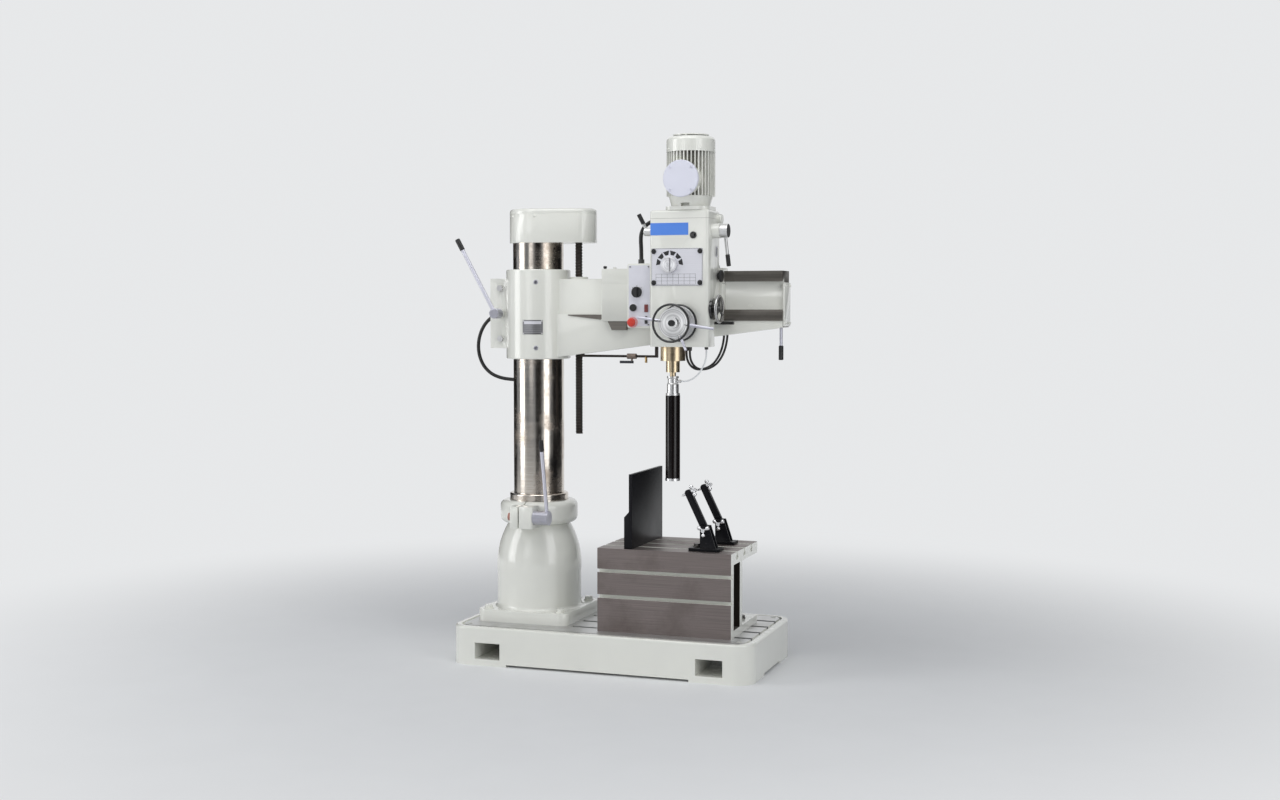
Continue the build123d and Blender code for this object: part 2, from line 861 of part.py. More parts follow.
def base_star(y):
    seat = y - clamp_bar_thickness / 2 - clamp_cheek_thickness - 2 * face_gap
    knob = Plane(origin=(clamp_x, seat, clamp_hinge_z), x_dir=(1, 0, 0), z_dir=(0, -1, 0)) * star(30)
    return knob - bar_y(clamp_pin_radius + running_fit, clamp_x, seat - star_hub_length / 2 - face_gap,
                        seat, clamp_hinge_z)


def jaw_star(y):
    seat = clamp_bar_width / 2 + face_gap
    shank_low = jaw_point_length - jaw_screw_tip
    shank = Pos(0, 0, (shank_low + seat) / 2) * Cylinder(jaw_screw_radius, seat - shank_low)
    point = Pos(0, 0, shank_low - jaw_point_length / 2) * Cone(jaw_point_radius, jaw_screw_radius, jaw_point_length)
    return jaw_frame(y) * (Pos(0, 0, seat) * star(0) + shank + point)


# Column clamp lever with the stud that closes the collar
def column_clamp_lever():
    seat = column_x + lug_right + face_gap
    end = seat + column_hub_length
    lever_x = end - column_lever_inset
    head = column_x - lug_left - face_gap
    body = bar_x(column_hub_radius, seat, end, -column_stud_reach, lug_mid)
    body += bar_x(column_stud_radius, head, seat, -column_stud_reach, lug_mid)
    body += bar_x(column_stud_head_radius, head - column_stud_head_length, head, -column_stud_reach, lug_mid)
    tip = (lever_x + column_lever_lean, -column_stud_reach, lug_mid + column_lever_height)
    return body + rod((lever_x, -column_stud_reach, lug_mid), tip, column_lever_radius)


def column_clamp_grip():
    lever_x = column_x + lug_right + face_gap + column_hub_length - column_lever_inset
    start = Vector(lever_x, -column_stud_reach, lug_mid)
    end = Vector(lever_x + column_lever_lean, -column_stud_reach, lug_mid + column_lever_height)
    along = (end - start).normalized()
    grip = rod(end, end + along * column_grip_length, column_grip_radius)
    return fillet(grip.edges(), column_grip_radius / 3)


# Column, its dust ring and the lift drive on top
def column_tube():
    return (post(column_radius, column_x, 0, column_bottom, column_top)
            - post(column_bore, column_x, 0, column_bottom, column_top))


def dust_ring():
    low = collar_top + face_gap
    high = low + dust_ring_height
    rim = dust_ring_radius - dust_ring_edge
    bend = dust_ring_edge * (1 - sqrt(0.5))
    outline = make_face(
        Polyline((column_radius, low), (dust_ring_radius, low), (dust_ring_radius, high - dust_ring_edge))
        + ThreePointArc((dust_ring_radius, high - dust_ring_edge), (dust_ring_radius - bend, high - bend), (rim, high))
        + Polyline((rim, high), (column_radius, high), (column_radius, low))
    )
    return Pos(column_x, 0, 0) * revolve(Plane.XZ * outline, Axis.Z)


def cover_outline(inset):
    return Pos(column_x, 0, 0) * oval(cover_big_radius - inset, cover_small_radius - inset, lift_screw_offset)


def gear_cover():
    lid_seat = cover_top - cover_lid_height
    shell = extrude(Pos(0, 0, column_top) * cover_outline(0), amount=lid_seat - column_top)
    shell -= extrude(Pos(0, 0, column_top + cover_floor) * cover_outline(cover_wall),
                     amount=lid_seat - column_top)
    shell -= post(column_bore - cover_wall, column_x, 0, column_top, column_top + cover_floor)
    return shell - post(lift_screw_radius + running_fit, screw_x, 0, column_top, column_top + cover_floor)


def gear_cover_lid():
    lid_seat = cover_top - cover_lid_height
    lid = extrude(Pos(0, 0, lid_seat) * cover_outline(0), amount=cover_lid_height)
    lid = fillet(lid.faces().sort_by(Axis.Z)[-1].edges(), cover_lid_edge)
    return lid - extrude(Pos(0, 0, lid_seat) * cover_outline(cover_wall), amount=cover_lid_height - cover_lid_edge)


def lift_motor():
    floor = column_top + cover_floor
    body = post(lift_motor_radius, column_x, 0, floor - lift_motor_height, floor)
    case = extrude(Pos(0, 0, floor) * cover_outline(gear_case_margin), amount=gear_case_height)
    pocket = post(lift_screw_head + face_gap, screw_x, 0, floor, floor + lift_screw_head_height + 2 * face_gap)
    return body + case - pocket


def lift_screw():
    floor = column_top + cover_floor
    head_low = floor + face_gap
    body = post(lift_screw_radius, screw_x, 0, head_low - lift_screw_length, head_low)
    return body + post(lift_screw_head, screw_x, 0, head_low, head_low + lift_screw_head_height)


# Arm with its split sleeve and ways
def arm_bottom(x):
    """Height of the arm's sloping lower edge."""
    root_x = column_x + rib_root_reach
    share = (x - root_x) / (arm_end_x - root_x)
    return way_bottom - rib_drop_root + share * (rib_drop_root - rib_drop_end)


def way_section():
    return [(way_front, way_bottom), (way_front, groove_low), (groove_back, groove_low - groove_undercut),
            (groove_back, groove_high + groove_undercut), (way_front, groove_high), (way_front, way_top),
            (arm_back, way_top), (arm_back, way_bottom)]


def arm_rib():
    rib = [(way_start_x, arm_bottom(way_start_x)), (arm_end_x, arm_bottom(arm_end_x)),
           (arm_end_x, way_bottom), (way_start_x, way_bottom)]
    return prism_y(rib, root_front_lower, arm_back)


def ear_bolt_heights():
    return (ear_z + ear_bolt_inset, ear_z + ear_height - ear_bolt_inset)


def arm_casting():
    sleeve = post(sleeve_radius, column_x, 0, sleeve_bottom, sleeve_top)
    body = fillet(sleeve.edges(), sleeve_edge)
    body += block(column_x - ear_reach, column_x, -ear_half, ear_half, ear_z, ear_z + ear_height)
    step_z = way_bottom + root_step
    body += block(column_x, way_start_x, root_front_upper, root_back, step_z, root_top_z)
    lower_root = [(column_x, arm_bottom(column_x + rib_root_reach)),
                  (column_x + rib_root_reach, arm_bottom(column_x + rib_root_reach)),
                  (way_start_x, arm_bottom(way_start_x)), (way_start_x, step_z), (column_x, step_z)]
    body += prism_y(lower_root, root_front_lower, root_back)
    body += prism_x(way_section(), way_start_x, arm_end_x)
    body += arm_rib()
    ear_x = column_x - ear_bolt_reach
    body += bar_y(arm_hub_radius, ear_x, -ear_half - arm_hub_boss, 0, ear_mid)
    body -= post(column_radius + running_fit, column_x, 0, sleeve_bottom, sleeve_top)
    body -= block(column_x - ear_reach, column_x, -ear_slit / 2, ear_slit / 2, sleeve_bottom, sleeve_top)
    for z in ear_bolt_heights():
        body -= bar_y(ear_bolt_radius, ear_x, -ear_half, ear_half, z)
    body -= bar_y(arm_stud_radius + running_fit, ear_x, -ear_half - arm_hub_boss, ear_half, ear_mid)
    body -= post(lift_screw_radius + screw_hole_clearance, screw_x, 0, sleeve_bottom, root_top_z)
    body -= post(lift_nut_radius, screw_x, 0, root_top_z - lift_nut_length, root_top_z)
    core_low, core_high = arm_bottom(way_start_x) + arm_wall, groove_high - arm_wall
    core = [(way_start_x, core_low), (arm_end_x, arm_bottom(arm_end_x) + arm_wall),
            (arm_end_x, core_high), (way_start_x, core_high)]
    return body - prism_y(core, groove_back + arm_wall, arm_back - arm_wall)


def lift_nut():
    body = post(lift_nut_radius, screw_x, 0, root_top_z - lift_nut_length, root_top_z)
    body += post(lift_nut_flange_radius, screw_x, 0, root_top_z, root_top_z + lift_nut_flange_height)
    return body - post(lift_screw_radius + running_fit, screw_x, 0, root_top_z - lift_nut_length,
                       root_top_z + lift_nut_flange_height)


def arm_end_plate():
    return block(arm_end_x, arm_end_x + end_plate_thickness, root_front_lower + end_plate_margin,
                 arm_back - end_plate_margin, arm_bottom(arm_end_x) + end_plate_margin,
                 groove_high - end_plate_margin)


def arm_clamp_bolts():
    bolts = []
    ear_x = column_x - ear_bolt_reach
    head = ear_bolt_radius * bolt_head_height_ratio
    for z in ear_bolt_heights():
        bolt = bar_y(ear_bolt_radius, ear_x, -ear_half, ear_half, z)
        for seat, direction in ((-ear_half, -1), (ear_half, 1)):
            frame = Plane(origin=(ear_x, seat, z), x_dir=(1, 0, 0), z_dir=(0, direction, 0))
            hexagon = RegularPolygon(ear_bolt_radius * bolt_head_ratio, 6, major_radius=False)
            bolt += extrude(frame * hexagon, amount=head)
        bolts.append(bolt)
    return Compound(children=bolts)


def swing_handle():
    x = arm_end_x - swing_handle_inset
    grip_top = arm_bottom(x) - swing_rod_length
    body = post(swing_rod_radius, x, swing_handle_y, grip_top, arm_bottom(x) + swing_rod_radius) - arm_rib()
    grip = post(swing_grip_radius, x, swing_handle_y, grip_top - swing_grip_length, grip_top)
    return body + fillet(grip.edges(), swing_grip_radius / 3)


def arm_lever_ends():
    angle = radians(arm_lever_angle)
    y = -ear_half - arm_hub_boss - arm_hub_length * 0.72
    start = Vector(column_x - ear_bolt_reach, y, ear_mid)
    return start, start + Vector(cos(angle), 0, sin(angle)) * arm_lever_length


def arm_clamp_lever():
    ear_x = column_x - ear_bolt_reach
    seat = -ear_half - arm_hub_boss - face_gap
    body = fillet(bar_y(arm_hub_radius, ear_x, seat - arm_hub_length, seat, ear_mid).edges(), 3)
    body += bar_y(arm_stud_radius, ear_x, seat, ear_half, ear_mid)
    start, end = arm_lever_ends()
    return body + rod(start, end, arm_lever_radius)


def arm_clamp_grip():
    start, end = arm_lever_ends()
    along = (end - start).normalized()
    grip = rod(end, end + along * arm_grip_length, arm_grip_radius)
    return fillet(grip.edges(), arm_grip_radius / 3)


# Water line: pipe, clips, valve body and hose barb in one piece
def pipe_height():
    return way_bottom - pipe_drop


def water_pipe():
    z = pipe_height()
    x0, x1 = column_x + pipe_left, column_x + pipe_right
    vx, bx = column_x + valve_x, column_x + barb_x
    body = bar_x(pipe_radius, x0, x1, pipe_y, z)
    body += bar_x(valve_radius, vx - valve_length / 2, vx + valve_length / 2, pipe_y, z)
    body += post(valve_stem_radius, vx, pipe_y, z - valve_handle_drop, z)
    body += post(pipe_radius, bx, pipe_y, z - barb_drop, z)
    for x in (x0, x1 - clip_width):
        clip = [(x, z), (x + clip_width, z), (x + clip_width, arm_bottom(x + clip_width)), (x, arm_bottom(x))]
        body += prism_y(clip, pipe_y - pipe_radius, pipe_y + pipe_radius)
    return body


def valve_handle():
    z = pipe_height() - valve_handle_drop
    x = column_x + valve_x
    half = valve_handle_width / 2
    body = rounded_block(x - valve_handle_length, x + half, pipe_y - half, pipe_y + half,
                         z - half, z + half / 2, half * 0.9)
    return body - post(valve_stem_radius + running_fit, x, pipe_y, z - face_gap, z + half)


# Head housing with its bores
def head_housing():
    body = rounded_block(head_left, head_right, head_front, head_back, head_bottom, head_top,
                         head_corner_radius)
    body = fillet(body.faces().sort_by(Axis.Z)[-1].edges(), head_top_radius)
    nose_top = way_bottom - saddle_drop
    corner_x, corner_y = head_right - head_nose_corner, head_back - head_nose_corner
    corner = block(corner_x, head_right, corner_y, head_back, head_bottom, nose_top)
    body -= corner - post(head_nose_corner, corner_x, corner_y, head_bottom, nose_top)
    body -= rounded_block(head_left + head_wall, head_right - head_wall, head_front + head_wall,
                          head_back - head_wall, way_bottom + gear_chamber_floor, head_top - head_wall,
                          head_corner_radius)
    body -= post(gear_chamber_mouth, motor_x, motor_y, head_top - head_wall, head_top)
    body += bar_x(shift_boss_radius, head_right, head_right + shift_boss_length, shift_y, way_bottom + shift_z)
    filler = bar_x(filler_radius, head_right, head_right + filler_reach, filler_y, way_bottom + filler_z)
    body += fillet(filler.faces().sort_by(Axis.X)[-1].edges(), filler_radius / 3)
    body -= post(quill_radius + running_fit, spindle_x, spindle_y, head_bottom, quill_top + face_gap)
    body -= post(drive_shaft_radius + running_fit, spindle_x, spindle_y, quill_top,
                 quill_top + drive_shaft_length + face_gap)
    body -= bar_y(pinion_radius + rack_module + face_gap, feed_x, spindle_y - quill_radius,
                  spindle_y + quill_radius, feed_z)
    body -= bar_y(feed_shaft_radius + running_fit, feed_x, head_front, spindle_y, feed_z)
    body -= bar_y(dial_stem_radius + running_fit, spindle_x + dial_x, head_front,
                  head_front + dial_stem_depth + face_gap, way_bottom + dial_z)
    body -= bar_x(shift_stem_radius + running_fit, head_right - shift_stem_depth - face_gap,
                  head_right + shift_boss_length, shift_y, way_bottom + shift_z)
    body -= bar_x(shift_stem_radius + running_fit, head_left, head_left + shift_stem_depth + face_gap,
                  shift_y, way_bottom + shift_z)
    body -= bar_x(lock_stem_radius + running_fit, head_right - lock_stem_depth - face_gap, head_right,
                  lock_y, way_bottom + lock_z)
    return body - bar_x(shift_stem_radius + running_fit, head_right - shift_stem_depth - face_gap,
                        head_right, traverse_y, way_bottom + traverse_z)


def saddle():
    low = way_bottom - saddle_drop
    seam = way_bottom + keeper_seam
    tongue_front = way_front - face_gap
    tongue_back = groove_back - face_gap
    profile = [(saddle_front, low), (tongue_front, low), (tongue_front, groove_low + 2 * face_gap),
               (tongue_back, groove_low - groove_undercut + 2 * face_gap), (tongue_back, seam),
               (saddle_front, seam)]
    return prism_x(profile, saddle_left, saddle_right)


def saddle_keeper():
    seam = way_bottom + keeper_seam
    top = way_top + keeper_top
    tongue_front = way_front - face_gap
    tongue_back = groove_back - face_gap
    profile = [(saddle_front, seam), (tongue_back, seam),
               (tongue_back, groove_high + groove_undercut - 2 * face_gap),
               (tongue_front, groove_high - 2 * face_gap), (tongue_front, way_top + face_gap),
               (keeper_back, way_top + face_gap), (keeper_back, top), (saddle_front, top)]
    return prism_x(profile, saddle_left, saddle_right)


# Quill with its rack, spindle and bearings
def rack_cutters():
    tip = spindle_x + rack_pitch_offset + rack_module
    root = spindle_x + rack_pitch_offset - 1.2 * rack_module
    slope = tan(radians(20))
    cutters = []
    for tooth in range(rack_teeth):
        z = feed_z + rack_pitch * (tooth - 2)
        half = rack_pitch / 4
        outer = half + rack_module * slope
        inner = half - 1.2 * rack_module * slope
        groove = [(root, z - inner), (tip, z - outer), (tip, z + outer), (root, z + inner)]
        cutters.append(prism_y(groove, spindle_y - quill_radius, spindle_y + quill_radius))
    return cutters


def quill():
    body = post(quill_radius, spindle_x, spindle_y, quill_bottom, quill_top)
    body -= post(spindle_radius + face_gap, spindle_x, spindle_y, quill_bottom, quill_top)
    for z0, z1 in ((quill_bottom, quill_bottom + bearing_height), (quill_top - bearing_height, quill_top)):
        body -= post(quill_bore, spindle_x, spindle_y, z0, z1)
    flat = spindle_x + rack_pitch_offset + rack_module
    low = feed_z - 3 * rack_pitch
    high = low + (rack_teeth + 2) * rack_pitch
    body -= block(flat, spindle_x + quill_radius, spindle_y - quill_radius, spindle_y + quill_radius, low, high)
    return body - rack_cutters()


def quill_bearings():
    rings = []
    for z0, z1 in ((quill_bottom, quill_bottom + bearing_height), (quill_top - bearing_height, quill_top)):
        ring = post(quill_bore, spindle_x, spindle_y, z0, z1)
        rings.append(ring - post(spindle_radius + running_fit, spindle_x, spindle_y, z0, z1))
    return Compound(children=rings)


def spindle():
    body = post(spindle_radius, spindle_x, spindle_y, quill_bottom - face_gap, quill_top)
    body += post(drive_shaft_radius, spindle_x, spindle_y, quill_top, quill_top + drive_shaft_length)
    nose = post(nose_radius, spindle_x, spindle_y, nose_bottom, quill_bottom - face_gap)
    body += nose
    return body + post(arbor_radius, spindle_x, spindle_y, barrel_top, nose_bottom)


def water_swivel():
    ring_top = swivel_bottom + swivel_ring_height
    neck = swivel_radius * 0.86
    profile = [(arbor_radius + running_fit, swivel_bottom), (swivel_ring_radius, swivel_bottom),
               (swivel_ring_radius, ring_top), (swivel_radius, ring_top),
               (swivel_radius, swivel_top - swivel_height * 0.42), (neck, swivel_top - swivel_height * 0.34),
               (neck, swivel_top - swivel_height * 0.14), (swivel_radius, swivel_top - swivel_height * 0.1),
               (swivel_radius, swivel_top), (arbor_radius + running_fit, swivel_top)]
    body = turned(profile, spindle_x, spindle_y)
    z = swivel_bottom + swivel_inlet_height
    inlet = bar_x(swivel_inlet_radius, spindle_x + swivel_radius * 0.7, spindle_x + swivel_inlet_reach,
                  spindle_y, z)
    return body + inlet


def core_barrel():
    inner = barrel_radius - barrel_wall
    profile = [(0, barrel_top), (barrel_radius, barrel_top), (barrel_radius, barrel_bottom + crown_height),
               (crown_radius, barrel_bottom + crown_height), (crown_radius, barrel_bottom),
               (inner, barrel_bottom), (inner, barrel_top - barrel_head), (0, barrel_top - barrel_head)]
    return turned(profile, spindle_x, spindle_y)


# Feed shaft: pinion, drum, hub and dished disc in one piece
def pinion_outline():
    root, tip = pinion_radius - 1.25 * rack_module, pinion_radius + 0.9 * rack_module
    pitch_half = (rack_pitch / 4 - tooth_backlash / 2) / pinion_radius
    slope = tan(radians(20))
    root_half = pitch_half * pinion_radius / root + 1.25 * rack_module * slope / root * 0.6
    tip_half = pitch_half * pinion_radius / tip - 0.9 * rack_module * slope / tip
    points = []
    for tooth in range(pinion_teeth):
        centre = pi + 2 * pi * tooth / pinion_teeth
        for radius, offset in ((root, -root_half), (tip, -tip_half), (tip, tip_half), (root, root_half)):
            points.append((feed_x + radius * cos(centre + offset), feed_z + radius * sin(centre + offset)))
    return points


def feed_lever(angle, length, lean):
    centre = Vector(feed_x, head_front - feed_lever_offset, feed_z)
    along = Vector(cos(radians(angle)), -lean, sin(radians(angle))).normalized()
    return rod(centre + along * feed_hub_radius / 2, centre + along * length, feed_lever_root, feed_lever_tip)


def feed_lever_list():
    return [feed_lever(feed_lever_angle, feed_lever_length, 0),
            feed_lever(feed_lever_angle + 180, feed_lever_length, 0),
            feed_lever(clutch_lever_angle, clutch_lever_length, clutch_lever_lean)]


def feed_hub():
    front = head_front - face_gap
    body = bar_y(feed_drum_radius, feed_x, front - feed_drum_height, front, feed_z)
    body = fillet(body.edges(), 2)
    body += bar_y(feed_hub_radius, feed_x, front - feed_hub_length, front, feed_z)
    body += bar_y(feed_shaft_radius, feed_x, front, spindle_y - quill_radius / 2, feed_z)
    body += prism_y(pinion_outline(), spindle_y - quill_radius / 2, spindle_y + quill_radius / 2)
    disc_y = front - feed_disc_offset
    body += bar_y(feed_disc_radius, feed_x, disc_y - feed_disc_height, disc_y, feed_z)
    body += bar_y(feed_cap_radius, feed_x, front - feed_hub_length - feed_cap_height,
                  front - feed_hub_length, feed_z)
    ring_y = front - hand_ring_offset
    for angle in (feed_lever_angle, feed_lever_angle + 180, clutch_lever_angle):
        turn = radians(angle)
        along = Vector(cos(turn), 0, sin(turn))
        start = Vector(feed_x, disc_y - feed_disc_height / 2, feed_z) + along * feed_disc_radius * 0.8
        end = Vector(feed_x, ring_y, feed_z) + along * hand_ring_radius
        body += rod(start, end, hand_ring_tube * 0.8)
    for lever in feed_lever_list():
        body -= lever
    return body - hand_ring_list()


def hand_ring_list():
    front = head_front - face_gap
    rings = []
    for y, radius in ((front - feed_drum_height / 2, feed_drum_radius + hand_ring_tube / 2),
                      (front - hand_ring_offset, hand_ring_radius)):
        rings.append(Pos(feed_x, y, feed_z) * Rot(90, 0, 0) * Torus(radius, hand_ring_tube))
    return rings


def hand_rings():
    return Compound(children=hand_ring_list())


def feed_levers():
    return Compound(children=feed_lever_list())


# Spindle motor
def motor_frame():
    flange_z = head_top + motor_flange_height
    half_x, half_y = motor_flange_length / 2, motor_flange_width / 2
    body = rounded_block(motor_x - half_x, motor_x + half_x, motor_y - half_y, motor_y + half_y,
                         head_top, flange_z, motor_flange_corner)
    body += Pos(motor_x, motor_y, (flange_z + motor_base) / 2) * Cone(
        motor_bell_foot, motor_bell_top, motor_bell_height)
    half_window = bell_window_width / 2
    window_y = motor_y - motor_bell_top
    body -= block(motor_x - half_window, motor_x + half_window, window_y, window_y + bell_window_depth,
                  flange_z, flange_z + bell_window_height)
    fin = motor_radius - motor_core_radius + motor_fin_width
    fin_shape = Pos(motor_radius - fin / 2, 0, 0) * Box(fin, motor_fin_width, motor_fin_height)
    body += around(fin_shape, motor_fin_count, motor_x, motor_y, motor_base + motor_fin_height / 2)
    body -= bar_y(terminal_radius, motor_x, motor_y - terminal_reach, motor_y, head_top + terminal_height)
    body += post(motor_core_radius, motor_x, motor_y, motor_base, motor_top)
    return body - post(rotor_shaft_radius + running_fit, motor_x, motor_y,
                       motor_top - motor_fin_height / 2, motor_top)


def motor_cowl():
    top = motor_top + cowl_height
    cap_low = top - cowl_cap_height
    shoulder = cap_low - cowl_cap_gap
    dome = shoulder - cowl_dome
    bend = cowl_dome * (1 - sqrt(0.5))
    inner = cowl_radius - cowl_wall
    outline = make_face(
        Polyline((inner, motor_top), (cowl_radius, motor_top), (cowl_radius, dome))
        + ThreePointArc((cowl_radius, dome), (cowl_radius - bend, shoulder - bend),
                        (cowl_radius - cowl_dome, shoulder))
        + Polyline((cowl_radius - cowl_dome, shoulder), (cowl_mouth, shoulder), (cowl_mouth, shoulder - cowl_wall),
                   (inner - cowl_dome, shoulder - cowl_wall), (inner, dome - cowl_wall), (inner, motor_top))
    )
    body = Pos(motor_x, motor_y, 0) * revolve(Plane.XZ * outline, Axis.Z)
    body += post(cowl_cap_radius, motor_x, motor_y, cap_low, top)
    spacer = Pos((cowl_mouth + cowl_cap_radius) / 2, 0, 0) * Cylinder(cowl_spacer_radius, cap_low - shoulder)
    return body + around(spacer, cowl_spacer_count, motor_x, motor_y, (shoulder + cap_low) / 2)


def motor_fan():
    plate_z = motor_top + cowl_wall
    blade = cowl_height - cowl_dome - 6 * cowl_wall
    body = post(fan_radius, motor_x, motor_y, plate_z, plate_z + cowl_wall)
    body += post(rotor_shaft_radius, motor_x, motor_y, motor_top - motor_fin_height / 2 + face_gap,
                 plate_z + blade)
    inner, outer = rotor_shaft_radius / 2, fan_radius - cowl_wall
    vane = Pos((inner + outer) / 2, 0, 0) * Box(outer - inner, cowl_wall, blade)
    return body + around(vane, fan_blades, motor_x, motor_y, plate_z + blade / 2)


def terminal_box():
    z = head_top + terminal_height
    cover_back = motor_y - terminal_reach
    body = bar_y(terminal_radius, motor_x, cover_back, motor_y, z)
    body -= post(motor_core_radius, motor_x, motor_y, z - terminal_radius, z + terminal_radius)
    cover = bar_y(terminal_cover_radius, motor_x, cover_back - terminal_cover_height, cover_back, z)
    return body + fillet(cover.edges(), 3)


# Control box on the head's left side, with its knob and buttons
def control_box():
    low = way_bottom - control_bottom
    outline = Plane.XZ * Pos(control_left + control_width / 2, low + control_height / 2) * RectangleRounded(
        control_width, control_height, control_corner)
    body = Pos(0, control_front + control_depth, 0) * extrude(outline, amount=control_depth)
    body -= block(control_left + control_wall, head_left, control_front + control_wall,
                  control_front + control_depth - control_wall, low + control_wall,
                  low + control_height - control_wall)
    for x, z in ((selector_x, selector_z), (start_x, start_z), (stop_x, stop_z)):
        body -= bar_y(stem_radius + running_fit, head_left - x, control_front,
                      control_front + stem_depth + button_travel + face_gap, way_bottom + z)
    return body


def selector_knob():
    x, z = head_left - selector_x, way_bottom + selector_z
    seat = control_front - face_gap
    body = bar_y(selector_radius, x, seat - selector_height / 2, seat, z)
    body = fillet(body.faces().sort_by(Axis.Y)[0].edges(), 2)
    body += block(x - selector_radius / 4, x + selector_radius / 4, seat - selector_height, seat,
                  z - selector_radius * 0.95, z + selector_radius * 0.95)
    return body + bar_y(stem_radius, x, seat, control_front + stem_depth, z)


def start_button():
    x, z = head_left - start_x, way_bottom + start_z
    seat = control_front - button_travel - face_gap
    body = fillet(bar_y(start_radius, x, seat - start_height / 2, seat, z).edges(), 1.5)
    return body + bar_y(stem_radius, x, seat, control_front + stem_depth, z)


def stop_button():
    x, z = head_left - stop_x, way_bottom + stop_z
    seat = control_front - button_travel - face_gap
    body = bar_y(stop_radius, x, seat - stop_height / 2, seat, z)
    body = fillet(body.faces().sort_by(Axis.Y)[0].edges(), stop_height / 4)
    return body + bar_y(stem_radius, x, seat, control_front + stem_depth, z)


def speed_dial():
    x, z = spindle_x + dial_x, way_bottom + dial_z
    seat = head_front - 3
    body = bar_y(dial_radius, x, seat - dial_height * 0.6, seat, z)
    body = fillet(body.faces().sort_by(Axis.Y)[0].edges(), 3)
    body += block(x - dial_radius / 6, x + dial_radius / 6, seat - dial_height, seat,
                  z - dial_radius * 0.8, z + dial_radius * 0.8)
    return body + bar_y(dial_stem_radius, x, seat, head_front + dial_stem_depth, z)


# Shift levers on both sides of the head
def right_shift_lever():
    z = way_bottom + shift_z
    seat = head_right + shift_boss_length + face_gap
    hub_end = seat + shift_hub_length
    body = fillet(bar_x(shift_hub_radius, seat, hub_end, shift_y, z).edges(), 3)
    body += bar_x(shift_stem_radius, head_right - shift_stem_depth, seat, shift_y, z)
    start = Vector(seat + shift_hub_length / 2, shift_y, z)
    along = Vector(sin(radians(shift_lean)), 0, -cos(radians(shift_lean)))
    knee = start + along * shift_rod_length
    body += rod(start, knee, shift_rod_radius)
    grip = rod(knee, knee + along * shift_grip_length, shift_grip_radius)
    return body + fillet(grip.edges(), 2.5)


def left_shift_lever():
    z = way_bottom + shift_z
    seat = head_left - face_gap
    hub_end = seat - left_hub_length
    body = fillet(bar_x(left_hub_radius, hub_end, seat, shift_y, z).edges(), 5)
    body += bar_x(shift_stem_radius, seat, head_left + shift_stem_depth, shift_y, z)
    start = Vector(hub_end + left_hub_length / 3, shift_y, z)
    along = Vector(-0.45, -0.25, 1).normalized()
    knee = start + along * left_rod_length
    body += rod(start, knee, shift_rod_radius)
    grip = rod(knee, knee + along * left_grip_length, shift_grip_radius)
    return body + fillet(grip.edges(), 2.5)


def saddle_lock():
    z = way_bottom + lock_z
    seat = head_right + face_gap
    rim = seat + lock_neck_length
    body = fillet(bar_x(lock_radius, rim, rim + lock_length, lock_y, z).edges(), lock_length / 4)
    body += bar_x(lock_neck_radius, seat, rim, lock_y, z)
    return body + bar_x(lock_stem_radius, head_right - lock_stem_depth, seat, lock_y, z)


def traverse_handwheel():
    z = way_bottom + traverse_z
    seat = head_right + face_gap
    body = bar_x(traverse_disc_radius, seat, seat + traverse_disc_height, traverse_y, z)
    body += bar_x(traverse_hub_radius, seat, seat + traverse_hub_length, traverse_y, z)
    body += bar_x(shift_stem_radius, head_right - shift_stem_depth, seat, traverse_y, z)
    rim_x = seat + traverse_hub_length - traverse_rim_tube
    body += Pos(rim_x, traverse_y, z) * Rot(0, 90, 0) * Torus(traverse_rim_radius, traverse_rim_tube)
    for spoke in range(traverse_spokes):
        turn = radians(90 + 360 * spoke / traverse_spokes)
        end = (rim_x, traverse_y + traverse_rim_radius * cos(turn), z + traverse_rim_radius * sin(turn))
        body += rod((rim_x, traverse_y, z), end, traverse_spoke_radius)
    return body


# Cables: each route is a list of points, counted from a corner of the piece that it leaves
head_rise = way_top + cable_over_arm - head_bottom
inlet_z = swivel_bottom + swivel_inlet_height
tube_rise = head_bottom - tube_fitting_length - inlet_z
arm_cable_route = [
    (-130, 82, 198), (-172, 82, 198), (-215, 84, 191), (-256, 87, 171), (-290, 90, 140), (-313, 93, 97),
    (-323, 96, 49), (-318, 100, 1), (-299, 104, -41), (-267, 109, -72), (-225, 115, -89), (-179, 121, -95),
    (-115, 126, -98), (-72, 127, -96), (-48, 126, -86), (-30, 123, -68), (-20, 121, -44), (-20, 121, -gland_length),
]
head_cable_route = [
    (44, 38, -gland_length), (44, 38, -41), (49, 46, -65), (58, 62, -83), (71, 82, -93), (85, 106, -94),
    (102, 133, -88), (118, 160, -74), (131, 182, -50), (141, 198, -20), (147, 208, head_rise * 0.04),
    (150, 213, head_rise * 0.16), (149, 215, head_rise * 0.28), (142, 216, head_rise * 0.405),
    (134, 217, head_rise * 0.53), (124, 217, head_rise * 0.655), (116, 215, head_rise * 0.775),
    (111, 208, head_rise * 0.87), (109, 192, head_rise * 0.94), (108, 168, head_rise * 0.978),
    (108, 141, head_rise * 0.997), (108, 111, head_rise),
    (108, head_back + gland_length - spindle_y, head_rise),
]
conduit_route = [
    (-64, 88, -187), (-64, 88, -149), (-67, 89, -112), (-66, 92, -84), (-56, 96, -61), (-38, 100, -43),
    (-14, 103, -33),
]
water_tube_route = [
    (swivel_inlet_reach, 0, 0), (54, 0, 0), (74, 1, tube_rise * 0.05), (93, 2, tube_rise * 0.14),
    (109, 4, tube_rise * 0.28), (122, 6, tube_rise * 0.45), (131, 8, tube_rise * 0.63),
    (135, 10, tube_rise * 0.8), (135, 10, tube_rise),
]


def route(origin, offsets):
    return [Vector(origin) + Vector(offset) for offset in offsets]


def arm_cable_points():
    return route((column_x, 0, sleeve_bottom), arm_cable_route)


